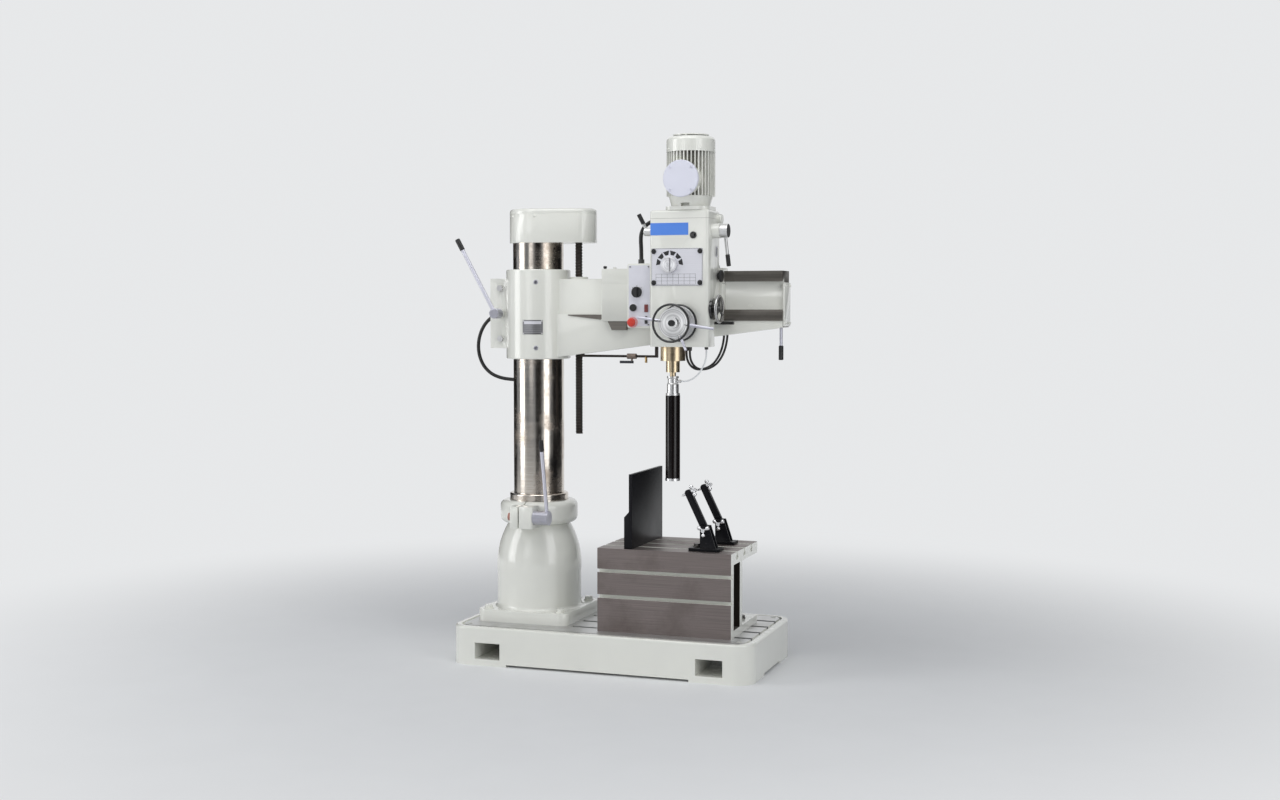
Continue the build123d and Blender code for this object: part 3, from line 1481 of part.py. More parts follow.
def head_cable_points(place):
    return route((spindle_x + place * head_cable_spacing, spindle_y, head_bottom), head_cable_route)


def conduit_points():
    return route((head_left, head_front, head_top), conduit_route)


def water_tube_points():
    return route((spindle_x, spindle_y, inlet_z), water_tube_route)


def arm_cable():
    return cable(arm_cable_points(), arm_cable_radius)


def arm_cable_glands():
    points = arm_cable_points()
    first, last = points[0], points[-1]
    start = gland(first, (1, 0, 0), arm_cable_radius, column_x - first.X)
    start -= post(sleeve_radius, column_x, 0, sleeve_bottom, sleeve_top)
    start = start.solids().sort_by(Axis.X)[0]
    end = gland(last, (0, 0, 1), arm_cable_radius, sleeve_bottom - last.Z)
    return Compound(children=[start, end])


def head_cables():
    return Compound(children=[cable(head_cable_points(place), head_cable_radius) for place in (0, 1)])


def head_glands():
    rings = []
    for place in (0, 1):
        points = head_cable_points(place)
        rings.append(gland(points[0], (0, 0, 1), head_cable_radius, head_bottom - points[0].Z))
        rings.append(gland(points[-1], (0, -1, 0), head_cable_radius, points[-1].Y - head_back))
    first, last = conduit_points()[0], conduit_points()[-1]
    box_top = way_bottom - control_bottom + control_height
    rings.append(gland(first, (0, 0, -1), conduit_radius, first.Z - box_top))
    tilted = gland(last, last - conduit_points()[-2], conduit_radius, 2 * gland_length)
    rings.append(tilted - block(head_left, head_right, head_front, head_back, head_bottom, head_top))
    tube_end = water_tube_points()[-1]
    rings.append(gland(tube_end, (0, 0, 1), water_tube_radius, head_bottom - tube_end.Z))
    return Compound(children=rings)


def conduit():
    return cable(conduit_points(), conduit_radius)


def water_tube():
    return cable(water_tube_points(), water_tube_radius)


pieces = {
    "base_casting": base_casting, "pedestal": pedestal, "thrust_bearing": thrust_bearing,
    "holding_bolts": holding_bolts, "box_table": box_table, "angle_plate": angle_plate,
    "column_clamp_lever": column_clamp_lever, "column_clamp_grip": column_clamp_grip,
    "column_tube": column_tube, "dust_ring": dust_ring, "gear_cover": gear_cover,
    "gear_cover_lid": gear_cover_lid, "lift_motor": lift_motor, "lift_screw": lift_screw,
    "arm_casting": arm_casting, "lift_nut": lift_nut, "arm_end_plate": arm_end_plate,
    "arm_clamp_bolts": arm_clamp_bolts, "swing_handle": swing_handle, "water_pipe": water_pipe,
    "valve_handle": valve_handle, "arm_clamp_lever": arm_clamp_lever, "arm_clamp_grip": arm_clamp_grip,
    "head_housing": head_housing, "saddle": saddle, "saddle_keeper": saddle_keeper,
    "quill": quill, "quill_bearings": quill_bearings, "spindle": spindle, "water_swivel": water_swivel,
    "core_barrel": core_barrel, "feed_hub": feed_hub, "hand_rings": hand_rings,
    "feed_levers": feed_levers, "motor_frame": motor_frame, "motor_cowl": motor_cowl,
    "motor_fan": motor_fan, "terminal_box": terminal_box, "control_box": control_box,
    "selector_knob": selector_knob, "start_button": start_button, "stop_button": stop_button,
    "speed_dial": speed_dial, "right_shift_lever": right_shift_lever, "left_shift_lever": left_shift_lever,
    "saddle_lock": saddle_lock, "traverse_handwheel": traverse_handwheel, "arm_cable": arm_cable,
    "arm_cable_glands": arm_cable_glands, "head_cables": head_cables, "head_glands": head_glands,
    "conduit": conduit, "water_tube": water_tube,
}
for node, make in pieces.items():
    save(node, make())

save("clamp_bases", Compound(children=[clamp_base(y) for y in clamp_places.values()]))
for place, y in clamp_places.items():
    save(f"clamp_arm_{place}", clamp_arm(y))
    save(f"base_star_{place}", base_star(y))
    save(f"jaw_star_{place}", jaw_star(y))
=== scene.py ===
# %% [markdown]
# # A radial-arm core drilling machine
# The solids of the machine are already made and packed: each node is one real piece, and the
# nodes hang on bodies that the joints move. Blender's work here is the finish of every surface,
# the cables, and the thin trim that a drawing leaves out. The first cell loads the frame.

# %% Load the imported machine
from math import cos, pi, radians, sin, tau

import bmesh
import bpy
from mathutils import Matrix, Vector

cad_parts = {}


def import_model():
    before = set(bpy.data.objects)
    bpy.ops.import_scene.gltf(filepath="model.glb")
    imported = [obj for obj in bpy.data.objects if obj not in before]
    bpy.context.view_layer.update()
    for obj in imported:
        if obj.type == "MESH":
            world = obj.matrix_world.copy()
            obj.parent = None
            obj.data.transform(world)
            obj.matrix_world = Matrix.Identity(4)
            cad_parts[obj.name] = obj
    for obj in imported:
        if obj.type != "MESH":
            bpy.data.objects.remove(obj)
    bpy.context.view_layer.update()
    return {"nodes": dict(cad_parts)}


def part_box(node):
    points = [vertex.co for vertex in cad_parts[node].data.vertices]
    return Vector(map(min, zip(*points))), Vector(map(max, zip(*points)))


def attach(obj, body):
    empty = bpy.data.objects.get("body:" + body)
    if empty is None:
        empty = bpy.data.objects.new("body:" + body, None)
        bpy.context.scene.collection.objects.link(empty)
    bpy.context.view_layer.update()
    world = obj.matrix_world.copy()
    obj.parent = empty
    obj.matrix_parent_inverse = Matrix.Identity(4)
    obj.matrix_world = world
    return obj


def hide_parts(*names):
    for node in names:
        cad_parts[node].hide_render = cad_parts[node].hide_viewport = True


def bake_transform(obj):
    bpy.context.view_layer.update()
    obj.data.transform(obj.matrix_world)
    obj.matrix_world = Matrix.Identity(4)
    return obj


for leftover in ("Cube", "Light", "Camera"):
    if leftover in bpy.data.objects:
        bpy.data.objects.remove(bpy.data.objects[leftover])

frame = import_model()
nodes = frame["nodes"]

# %% [markdown]
# ## Camera
# The machine was photographed from in front and a little to the right, from about six and a half
# metres away, with the lens at the height of the arm. A long lens keeps the column upright in the
# frame. The numbers below put the base, the column and the motor where the photograph has them.

# %% The photograph's camera
camera_place = (2.230, -6.173, 1.439)
camera_turn = 0.336
camera_dip = 0.056
lens_mm = 45.0
sensor_mm = 36.0

camera_data = bpy.data.cameras.new("front_right_camera")
camera_data.lens = lens_mm
camera_data.sensor_width = sensor_mm
camera = bpy.data.objects.new("front_right_camera", camera_data)
camera.location = camera_place
camera.rotation_euler = (pi / 2 - camera_dip, 0, camera_turn)
bpy.context.scene.collection.objects.link(camera)
bpy.context.scene.camera = camera
print("camera at", camera_place)

# %% [markdown]
# ## Cables
# Each cable runs along the same points as its solid. A NURBS spline of order three rounds the
# corners between them, so the line flows like a real cable. The order and the end setting are
# given after the points are in, because Blender lowers the order of a short spline. The curve is
# read twice: bare, for the line that the cable follows, and with its thickness, for the mesh.

# %% Tools for cables
def cable_line(points):
    """A curve that rounds the corners between the points."""
    curve = bpy.data.curves.new("cable_line", "CURVE")
    curve.dimensions = "3D"
    spline = curve.splines.new("NURBS")
    spline.points.add(len(points) - 1)
    for control, point in zip(spline.points, points):
        control.co = (*point, 1.0)
    spline.order_u = 3
    spline.use_endpoint_u = True
    spline.resolution_u = 8
    curve.bevel_resolution = 5
    curve.use_fill_caps = True
    line = bpy.data.objects.new("cable_line", curve)
    bpy.context.scene.collection.objects.link(line)
    return line


def mesh_of(line, radius):
    """The line as a mesh. A radius of zero gives the bare line."""
    line.data.bevel_depth = radius
    bpy.context.view_layer.update()
    return bpy.data.meshes.new_from_object(line.evaluated_get(bpy.context.evaluated_depsgraph_get()))


def cable_tube(name, points, radius):
    """A round mesh along the smooth line of the points, and the points of that line."""
    line = cable_line(points)
    bare_line = mesh_of(line, 0.0)
    followed = [vertex.co.copy() for vertex in bare_line.vertices]
    tube = bpy.data.objects.new(name, mesh_of(line, radius))
    tube.data.shade_smooth()
    tube.data.set_sharp_from_angle(angle=radians(60))
    bpy.context.scene.collection.objects.link(tube)
    bpy.data.meshes.remove(bare_line)
    bpy.data.objects.remove(line)
    return tube, followed


# %% [markdown]
# The thick cable leaves the arm's sleeve, hangs in a loop on the far left and goes up into the sleeve
# again. Two thin ones hang from the head, run behind the arm and enter the head's back. A stiff
# conduit joins the control box to the head.

# %% Cables of the arm and the head
arm_cable_points = [
    (-0.504, 0.082, 1.436), (-0.546, 0.082, 1.436), (-0.589, 0.084, 1.429), (-0.630, 0.087, 1.409),
    (-0.664, 0.090, 1.378), (-0.687, 0.093, 1.335), (-0.697, 0.096, 1.287), (-0.692, 0.100, 1.239),
    (-0.673, 0.104, 1.197), (-0.641, 0.109, 1.166), (-0.599, 0.115, 1.149), (-0.553, 0.121, 1.143),
    (-0.489, 0.126, 1.140), (-0.446, 0.127, 1.142), (-0.422, 0.126, 1.152), (-0.404, 0.123, 1.170),
    (-0.394, 0.121, 1.194), (-0.394, 0.121, 1.220),
]
head_cable_points = [
    (0.312, -0.122, 1.279), (0.312, -0.122, 1.256), (0.317, -0.114, 1.232), (0.326, -0.098, 1.214),
    (0.339, -0.078, 1.204), (0.353, -0.054, 1.203), (0.370, -0.027, 1.209), (0.386, 0.000, 1.223),
    (0.399, 0.022, 1.247), (0.409, 0.038, 1.277), (0.415, 0.048, 1.312), (0.418, 0.053, 1.356),
    (0.417, 0.055, 1.400), (0.410, 0.056, 1.446), (0.402, 0.057, 1.492), (0.392, 0.057, 1.538),
    (0.384, 0.055, 1.582), (0.379, 0.048, 1.617), (0.377, 0.032, 1.643), (0.376, 0.008, 1.657),
    (0.376, -0.019, 1.664), (0.376, -0.049, 1.665), (0.376, -0.087, 1.665),
]
conduit_points = [
    (0.140, -0.172, 1.640), (0.140, -0.172, 1.678), (0.137, -0.171, 1.715), (0.138, -0.168, 1.743),
    (0.148, -0.164, 1.766), (0.166, -0.160, 1.784), (0.190, -0.157, 1.794),
]
cable_spacing = Vector((0.014, 0.0, 0.0))
second_cable_points = [Vector(point) + cable_spacing for point in head_cable_points]

black_cables = []
for name, node, body, points, length, diameter, stiffness in (
    ("arm_feed_cable", "arm_cable", "arm", arm_cable_points, 0.714, 0.015, "medium"),
    ("head_cable_one", "head_cables", "head", head_cable_points, 0.763, 0.009, "medium"),
    ("head_cable_two", "head_cables", "head", second_cable_points, 0.763, 0.009, "medium"),
    ("control_conduit", "conduit", "head", conduit_points, 0.180, 0.016, "stiff"),
):
    cable, followed = cable_tube(name, points, diameter / 2)
    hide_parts(node)
    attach(cable, body)
    black_cables.append(cable)
    print(name, "leaves at", [round(value, 3) for value in followed[0]])

# %% [markdown]
# The white water tube joins the swivel, which goes down with the quill, to the head. It has to
# bend when the quill feeds; here its mesh is built once from the points below and rides no body.

# %% Water tube
water_tube_points = [
    (0.302, -0.160, 1.159), (0.322, -0.160, 1.159), (0.342, -0.159, 1.165), (0.361, -0.158, 1.177),
    (0.377, -0.156, 1.194), (0.390, -0.154, 1.216), (0.399, -0.152, 1.238), (0.403, -0.150, 1.260),
    (0.403, -0.150, 1.285),
]
tube_diameter = 0.0064
water_tube, followed = cable_tube("swivel_water_tube", water_tube_points, tube_diameter / 2)
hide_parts("water_tube")
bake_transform(water_tube)
print("water tube of", len(water_tube.data.vertices), "points")

# %% [markdown]
# ## Finish groups
# Paint, bare metal and moulded plastic each show the same small effects again and again: a film
# that isn't quite even, dust on the faces that look up, lines left by the cutter. Each effect is
# one node group with named inputs, so every material below only states its own values.

# %% Node group helpers
def connect(tree, value, socket):
    """A plain number is set on the socket; another node's output is linked to it."""
    if isinstance(value, (int, float)):
        socket.default_value = value
    else:
        tree.links.new(value, socket)


def new_group(name, inputs):
    """A finish group: its tree, its named inputs, and the coordinates of the surface."""
    group = bpy.data.node_groups.new(name, "ShaderNodeTree")
    for label, kind, value in inputs:
        socket = group.interface.new_socket(label, in_out="INPUT", socket_type=f"NodeSocket{kind}")
        socket.default_value = value
    for label, kind in (("Colour", "Color"), ("Roughness", "Float"), ("Height", "Float")):
        group.interface.new_socket(label, in_out="OUTPUT", socket_type=f"NodeSocket{kind}")
    given = group.nodes.new("NodeGroupInput").outputs
    return group, given, group.nodes.new("ShaderNodeTexCoord").outputs["Object"]


def give_out(group, colour, roughness, height):
    results = group.nodes.new("NodeGroupOutput").inputs
    for label, value in (("Colour", colour), ("Roughness", roughness), ("Height", height)):
        group.links.new(value, results[label])
    print(group.name, "has", len(group.nodes), "nodes")


def noise(tree, vector, scale, detail=4.0, roughness=0.55):
    node = tree.nodes.new("ShaderNodeTexNoise")
    for label, value in (("Vector", vector), ("Scale", scale), ("Detail", detail), ("Roughness", roughness)):
        connect(tree, value, node.inputs[label])
    return node.outputs["Fac"]


def remap(tree, value, low, high, out_low=0.0, out_high=1.0):
    node = tree.nodes.new("ShaderNodeMapRange")
    for label, number in (("From Min", low), ("From Max", high), ("To Min", out_low), ("To Max", out_high)):
        node.inputs[label].default_value = number
    tree.links.new(value, node.inputs["Value"])
    return node.outputs["Result"]


def maths(tree, operation, *values):
    node = tree.nodes.new("ShaderNodeMath")
    node.operation = operation
    for socket, value in zip(node.inputs, values):
        connect(tree, value, socket)
    return node.outputs["Value"]


def vector_maths(tree, operation, first, second=None):
    """Maths on vectors or colours. A scale takes a number second, and a length gives a number."""
    node = tree.nodes.new("ShaderNodeVectorMath")
    node.operation = operation
    tree.links.new(first, node.inputs[0])
    if second is not None:
        tree.links.new(second, node.inputs["Scale" if operation == "SCALE" else 1])
    return node.outputs["Value" if operation == "LENGTH" else "Vector"]


def mix_colour(tree, share, first, second):
    node = tree.nodes.new("ShaderNodeMix")
    node.data_type = "RGBA"
    for label, value in (("Factor", share), ("A", first), ("B", second)):
        socket = [s for s in node.inputs if s.name == label and s.enabled][0]
        tree.links.new(value, socket)
    return [s for s in node.outputs if s.enabled][0]


# %% [markdown]
# **Paint film.** The castings are filled, rubbed down and sprayed with a glossy cream enamel. The
# film has a faint orange peel, the colour wanders a little, and shop dust settles on the faces
# that look up. Object coordinates are metres here, so the scales are per metre.

# %% Paint film group
paint_film, film, place = new_group(
    "paint_film",
    [("Colour", "Color", (0.8, 0.8, 0.75, 1)), ("Dust Colour", "Color", (0.5, 0.48, 0.42, 1)),
     ("Dust", "Float", 0.3), ("Gloss", "Float", 0.25), ("Wander", "Float", 0.06)])
facing = paint_film.nodes.new("ShaderNodeNewGeometry").outputs["Normal"]
split = paint_film.nodes.new("ShaderNodeSeparateXYZ")
paint_film.links.new(facing, split.inputs["Vector"])
upward = remap(paint_film, split.outputs["Z"], 0.6, 1.0)
patches = remap(paint_film, noise(paint_film, place, scale=22.0, detail=6.0, roughness=0.65), 0.42, 0.66)
dust_share = maths(paint_film, "MULTIPLY", maths(paint_film, "MULTIPLY", upward, patches), film["Dust"])
drift = remap(paint_film, noise(paint_film, place, scale=3.5, detail=3.0), 0.3, 0.7, -1.0, 1.0)
shade = maths(paint_film, "MULTIPLY_ADD", drift, film["Wander"], 1.0)
tinted = vector_maths(paint_film, "SCALE", film["Colour"], shade)
dusty = mix_colour(paint_film, dust_share, tinted, film["Dust Colour"])
smears = remap(paint_film, noise(paint_film, place, scale=9.0, detail=5.0), 0.35, 0.75, 0.0, 0.05)
clean_rough = maths(paint_film, "ADD", film["Gloss"], smears)
film_rough = maths(paint_film, "MULTIPLY_ADD", dust_share, 0.5, clean_rough)
orange_peel = noise(paint_film, place, scale=260.0, detail=2.0)
give_out(paint_film, dusty, film_rough, orange_peel)

# %% [markdown]
# **Cut metal.** Ground, milled and turned faces show fine lines along the cut, and old oil leaves
# warm stains. Stretching the coordinates before a noise gives lines in any direction: a large
# number across the cut packs the lines, a small one along it draws them out.

# %% Cut metal group
cut_metal, metal, place = new_group(
    "cut_metal",
    [("Colour", "Color", (0.6, 0.6, 0.6, 1)), ("Stain Colour", "Color", (0.25, 0.18, 0.12, 1)),
     ("Stain", "Float", 0.3), ("Stain Scale", "Float", 8.0), ("Polish", "Float", 0.25),
     ("Line Share", "Float", 0.15), ("Stretch", "Vector", (1.0, 1.0, 1.0))])
drawn_out = vector_maths(cut_metal, "MULTIPLY", place, metal["Stretch"])
lines = noise(cut_metal, drawn_out, scale=1.0, detail=6.0, roughness=0.7)
oil = noise(cut_metal, place, metal["Stain Scale"], detail=7.0, roughness=0.62)
stain_share = maths(cut_metal, "MULTIPLY", remap(cut_metal, oil, 0.5, 0.72), metal["Stain"])
pale_and_dark = remap(cut_metal, lines, 0.25, 0.75, -1.0, 1.0)
line_shade = maths(cut_metal, "MULTIPLY_ADD", pale_and_dark, metal["Line Share"], 1.0)
lined = vector_maths(cut_metal, "SCALE", metal["Colour"], line_shade)
stained = mix_colour(cut_metal, stain_share, lined, metal["Stain Colour"])
lined_rough = maths(cut_metal, "MULTIPLY_ADD", lines, 0.16, metal["Polish"])
metal_rough = maths(cut_metal, "MULTIPLY_ADD", stain_share, 0.35, lined_rough)
give_out(cut_metal, stained, metal_rough, lines)

# %% [markdown]
# **Turned rings.** A disc that was faced on a lathe shows fine rings round its own axis. The distance
# from that axis is the only coordinate that counts, so the group takes a centre and a mask that
# drops the axis direction, and feeds the distance to a noise of one dimension.

# %% Turned rings group
turned_rings, disc, place = new_group(
    "turned_rings",
    [("Colour", "Color", (0.7, 0.7, 0.7, 1)), ("Ring Colour", "Color", (0.45, 0.45, 0.45, 1)),
     ("Centre", "Vector", (0.0, 0.0, 0.0)), ("Across", "Vector", (1.0, 0.0, 1.0)),
     ("Rings Per Metre", "Float", 220.0), ("Polish", "Float", 0.2)])
from_centre = vector_maths(turned_rings, "SUBTRACT", place, disc["Centre"])
from_axis = vector_maths(turned_rings, "LENGTH",
                         vector_maths(turned_rings, "MULTIPLY", from_centre, disc["Across"]))
ring_noise = turned_rings.nodes.new("ShaderNodeTexNoise")
ring_noise.noise_dimensions = "1D"
ring_noise.inputs["Scale"].default_value = 1.0
ring_noise.inputs["Detail"].default_value = 3.0
ring_count = maths(turned_rings, "MULTIPLY", from_axis, disc["Rings Per Metre"])
turned_rings.links.new(ring_count, ring_noise.inputs["W"])
ring_share = remap(turned_rings, ring_noise.outputs["Fac"], 0.4, 0.65)
ringed = mix_colour(turned_rings, ring_share, disc["Colour"], disc["Ring Colour"])
ring_rough = maths(turned_rings, "MULTIPLY_ADD", ring_share, 0.12, disc["Polish"])
give_out(turned_rings, ringed, ring_rough, ring_noise.outputs["Fac"])

# %% [markdown]
# **Moulded skin.** Grips, buttons and cable jackets have a fine grain and get paler where hands
# rub them. One group with a grain scale and a rub amount serves all of them.

# %% Moulded skin group
moulded_skin, skin, place = new_group(
    "moulded_skin",
    [("Colour", "Color", (0.02, 0.02, 0.02, 1)), ("Rubbed Colour", "Color", (0.08, 0.08, 0.08, 1)),
     ("Rub", "Float", 0.3), ("Grain Scale", "Float", 900.0), ("Dullness", "Float", 0.45)])
rubbed = remap(moulded_skin, noise(moulded_skin, place, scale=30.0, detail=5.0), 0.45, 0.7)
rub_share = maths(moulded_skin, "MULTIPLY", rubbed, skin["Rub"])
worn = mix_colour(moulded_skin, rub_share, skin["Colour"], skin["Rubbed Colour"])
grain = noise(moulded_skin, place, skin["Grain Scale"], detail=3.0)
skin_rough = maths(moulded_skin, "MULTIPLY_ADD", grain, 0.15, skin["Dullness"])
give_out(moulded_skin, worn, skin_rough, grain)

# %% [markdown]
# ## Materials
# A material is one Principled shader fed by one of the groups. What is the same all over the
# surface, such as the coat of clear enamel or the metallic value, is set on the shader itself.

# %% Material helpers
def finish(name, group, values, bump=0.0, bump_distance=0.001, metallic=0.0, coat=0.0, coat_roughness=0.1,
           specular=0.5):
    """A Principled material fed by one finish group, with values for the group's inputs."""
    material = bpy.data.materials.new(name)
    material.use_nodes = True
    tree = material.node_tree
    shader = tree.nodes["Principled BSDF"]
    for label, value in (("Metallic", metallic), ("Coat Weight", coat), ("Coat Roughness", coat_roughness),
                         ("Specular IOR Level", specular)):
        shader.inputs[label].default_value = value
    effect = tree.nodes.new("ShaderNodeGroup")
    effect.node_tree = group
    for label, value in values.items():
        socket = effect.inputs[label]
        socket.default_value = (*value, 1) if socket.type == "RGBA" else value
    tree.links.new(effect.outputs["Colour"], shader.inputs["Base Color"])
    tree.links.new(effect.outputs["Roughness"], shader.inputs["Roughness"])
    if bump:
        relief = tree.nodes.new("ShaderNodeBump")
        relief.inputs["Strength"].default_value = bump
        relief.inputs["Distance"].default_value = bump_distance
        tree.links.new(effect.outputs["Height"], relief.inputs["Height"])
        tree.links.new(relief.outputs["Normal"], shader.inputs["Normal"])
    return material


def enamel(name, colour, dust=0.25, gloss=0.2, wander=0.05, coat=0.6, coat_roughness=0.1, specular=0.5):
    """Sprayed paint, with or without a clear coat."""
    values = {"Colour": colour, "Dust": dust, "Gloss": gloss, "Wander": wander}
    return finish(name, paint_film, values, bump=0.06, bump_distance=0.0004, coat=coat,
                  coat_roughness=coat_roughness, specular=specular)


def bare(name, colour, stain_colour, stain, polish, stretch, lines=0.12, stain_scale=8.0, bump=0.05,
         metallic=1.0):
    """Bare metal. Its lines run along the axis that has the small stretch."""
    values = {"Colour": colour, "Stain Colour": stain_colour, "Stain": stain, "Stain Scale": stain_scale,
              "Polish": polish, "Line Share": lines, "Stretch": stretch}
    return finish(name, cut_metal, values, bump=bump, bump_distance=0.0003, metallic=metallic)


def lathe_turned(name, node, axis, colour, ring_colour, rings, polish):
    """Faced metal: rings round the node's own axis, and highlights drawn out across them."""
    low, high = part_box(node)
    across = {"X": (0.0, 1.0, 1.0), "Y": (1.0, 0.0, 1.0)}[axis]
    values = {"Colour": colour, "Ring Colour": ring_colour, "Centre": (low + high) / 2, "Across": across,
              "Rings Per Metre": rings, "Polish": polish}
    material = finish(name, turned_rings, values, metallic=1.0)
    tree = material.node_tree
    around = tree.nodes.new("ShaderNodeTangent")
    around.direction_type = "RADIAL"
    around.axis = axis
    shader = tree.nodes["Principled BSDF"]
    shader.inputs["Anisotropic"].default_value = 0.8
    tree.links.new(around.outputs["Tangent"], shader.inputs["Tangent"])
    return material


def moulded(name, colour, rubbed_colour, rub=0.3, grain=900.0, dullness=0.4, bump=0.08, coat=0.0):
    """Plastic or rubber."""
    values = {"Colour": colour, "Rubbed Colour": rubbed_colour, "Rub": rub, "Grain Scale": grain,
              "Dullness": dullness}
    return finish(name, moulded_skin, values, bump=bump, bump_distance=0.0003, coat=coat)


# %% [markdown]
# The castings are cream with a touch of green. The column is ground and polished, and shows turned
# rings and brown oil marks. The table and the ways are milled cast iron, dark and satin.

# %% Paints and metals
cream = enamel("cream_enamel", (0.80, 0.805, 0.75), dust=0.18, wander=0.03, coat=0.7, coat_roughness=0.08)
pale = enamel("pale_cover_enamel", (0.70, 0.71, 0.81), dust=0.1, gloss=0.28)
# Dark grey for the gaps between the motor's fins: painted shade between the fins.
fin_gap_painted_shade = enamel("painted_shade_fin_gaps", (0.20, 0.195, 0.175), dust=0.3, gloss=0.6, wander=0.1, coat=0.0,
                   specular=0.2)
black_enamel = enamel("black_enamel", (0.007, 0.007, 0.009), dust=0.05, gloss=0.34, wander=0.2, coat=0.0,
                      specular=0.16)
barrel_lacquer = enamel("barrel_lacquer", (0.008, 0.006, 0.006), dust=0.0, gloss=0.06, wander=0.15, coat=0.0,
                        specular=0.36)
# Near-black for the faces inside the table's hollow: painted shade of its depth.
table_hollow_painted_shade = enamel("painted_shade_table_hollow", (0.022, 0.018, 0.015), dust=0.3, gloss=0.6, wander=0.3, coat=0.0,
                     specular=0.1)
rust_red = enamel("red_primer", (0.42, 0.20, 0.16), dust=0.1, gloss=0.4, wander=0.2, coat=0.0)
column_steel = bare("ground_column_steel", (0.66, 0.61, 0.55), (0.22, 0.14, 0.08), 0.75, 0.09,
                    (6.0, 6.0, 260.0), lines=0.16, stain_scale=7.0)
milled_iron = bare("milled_iron", (0.245, 0.210, 0.200), (0.12, 0.095, 0.085), 0.5, 0.34,
                   (3.0, 420.0, 420.0), lines=0.30, stain_scale=5.0, metallic=0.85)
way_iron = bare("scraped_way_iron", (0.20, 0.185, 0.165), (0.09, 0.075, 0.06), 0.5, 0.30,
                (3.0, 380.0, 380.0), lines=0.28, stain_scale=6.0, metallic=0.85)
deck_iron = bare("planed_deck_iron", (0.62, 0.62, 0.62), (0.35, 0.33, 0.30), 0.35, 0.30,
                 (3.0, 300.0, 300.0), lines=0.14, stain_scale=9.0, metallic=0.9)
lever_steel = bare("polished_lever_steel", (0.66, 0.66, 0.74), (0.60, 0.59, 0.64), 0.08, 0.40,
                   (30.0, 30.0, 60.0), lines=0.03, stain_scale=20.0, bump=0.0, metallic=0.75)
turned_steel = bare("turned_steel", (0.74, 0.74, 0.74), (0.46, 0.43, 0.40), 0.25, 0.28,
                    (60.0, 90.0, 60.0), lines=0.06, stain_scale=18.0, bump=0.0)
hub_steel = bare("clamp_hub_steel", (0.50, 0.50, 0.56), (0.34, 0.32, 0.33), 0.25, 0.26,
                 (60.0, 90.0, 60.0), lines=0.06, stain_scale=18.0, bump=0.0)
dish_steel = lathe_turned("faced_dish_steel", "feed_hub", "Y", (0.92, 0.92, 0.92),
                          (0.60, 0.60, 0.60), 150.0, 0.30)
knob_steel = lathe_turned("faced_knob_steel", "speed_dial", "Y", (0.90, 0.90, 0.92),
                          (0.66, 0.66, 0.68), 260.0, 0.30)
wheel_steel = lathe_turned("turned_wheel_rim", "traverse_handwheel", "X", (0.50, 0.50, 0.50),
                           (0.28, 0.27, 0.26), 300.0, 0.20)
oiled_steel = bare("oiled_screw_steel", (0.050, 0.044, 0.040), (0.02, 0.016, 0.012), 0.6, 0.22,
                   (90.0, 90.0, 30.0), lines=0.25, stain_scale=14.0)
quill_steel = bare("oil_gold_quill_steel", (0.66, 0.54, 0.37), (0.27, 0.19, 0.10), 0.4, 0.22,
                   (20.0, 20.0, 420.0), lines=0.14, stain_scale=16.0)
bolt_steel = bare("blackened_bolt_steel", (0.16, 0.15, 0.145), (0.05, 0.045, 0.04), 0.4, 0.32,
                  (200.0, 200.0, 200.0), lines=0.15, stain_scale=30.0)
bronze = bare("nut_bronze", (0.55, 0.38, 0.18), (0.16, 0.11, 0.06), 0.5, 0.25,
              (300.0, 300.0, 60.0), lines=0.12, stain_scale=20.0)
valve_brown = bare("valve_brown", (0.24, 0.19, 0.16), (0.10, 0.08, 0.07), 0.4, 0.34,
                   (120.0, 120.0, 120.0), lines=0.10, stain_scale=30.0, metallic=0.7)
chrome = bare("knob_chrome", (0.90, 0.90, 0.91), (0.60, 0.60, 0.60), 0.05, 0.20,
              (40.0, 40.0, 40.0), lines=0.02, stain_scale=30.0, bump=0.0)
plate_silver = bare("brushed_plate", (0.74, 0.74, 0.79), (0.60, 0.60, 0.65), 0.15, 0.34,
                    (6.0, 700.0, 700.0), lines=0.05, stain_scale=25.0, bump=0.0, metallic=0.25)
plate_dark = bare("etched_plate", (0.30, 0.30, 0.31), (0.18, 0.18, 0.19), 0.25, 0.30,
                  (700.0, 700.0, 8.0), lines=0.08, stain_scale=30.0)
print(len(bpy.data.materials), "materials so far")

# %% Plastics and rubbers
black_plastic = moulded("black_grip_plastic", (0.012, 0.012, 0.013), (0.05, 0.05, 0.05))
gloss_black = moulded("gloss_black_ring", (0.008, 0.008, 0.009), (0.03, 0.03, 0.03), rub=0.2, dullness=0.12,
                      bump=0.02, coat=0.5)
red_plastic = moulded("stop_red", (0.62, 0.035, 0.02), (0.75, 0.16, 0.10), rub=0.25, dullness=0.22, bump=0.03)
dark_red = moulded("lamp_red", (0.16, 0.02, 0.02), (0.25, 0.06, 0.05), rub=0.2, dullness=0.2, bump=0.02)
valve_grey = moulded("valve_grey", (0.022, 0.024, 0.032), (0.06, 0.065, 0.08), dullness=0.35)
strip_blue = moulded("strip_blue", (0.085, 0.25, 0.78), (0.11, 0.29, 0.82), rub=0.3, dullness=0.3, bump=0.02)
cable_rubber = moulded("cable_rubber", (0.012, 0.012, 0.012), (0.05, 0.048, 0.045), rub=0.4, dullness=0.38)
gland_grey = moulded("gland_grey", (0.05, 0.05, 0.052), (0.12, 0.12, 0.12), dullness=0.45)
tube_white = moulded("tube_white", (0.86, 0.88, 0.90), (0.78, 0.80, 0.82), rub=0.4, dullness=0.22, bump=0.02)
legend_dark = moulded("legend_dark", (0.02, 0.02, 0.022), (0.05, 0.05, 0.05), rub=0.3, dullness=0.5,
                      bump=0.02)
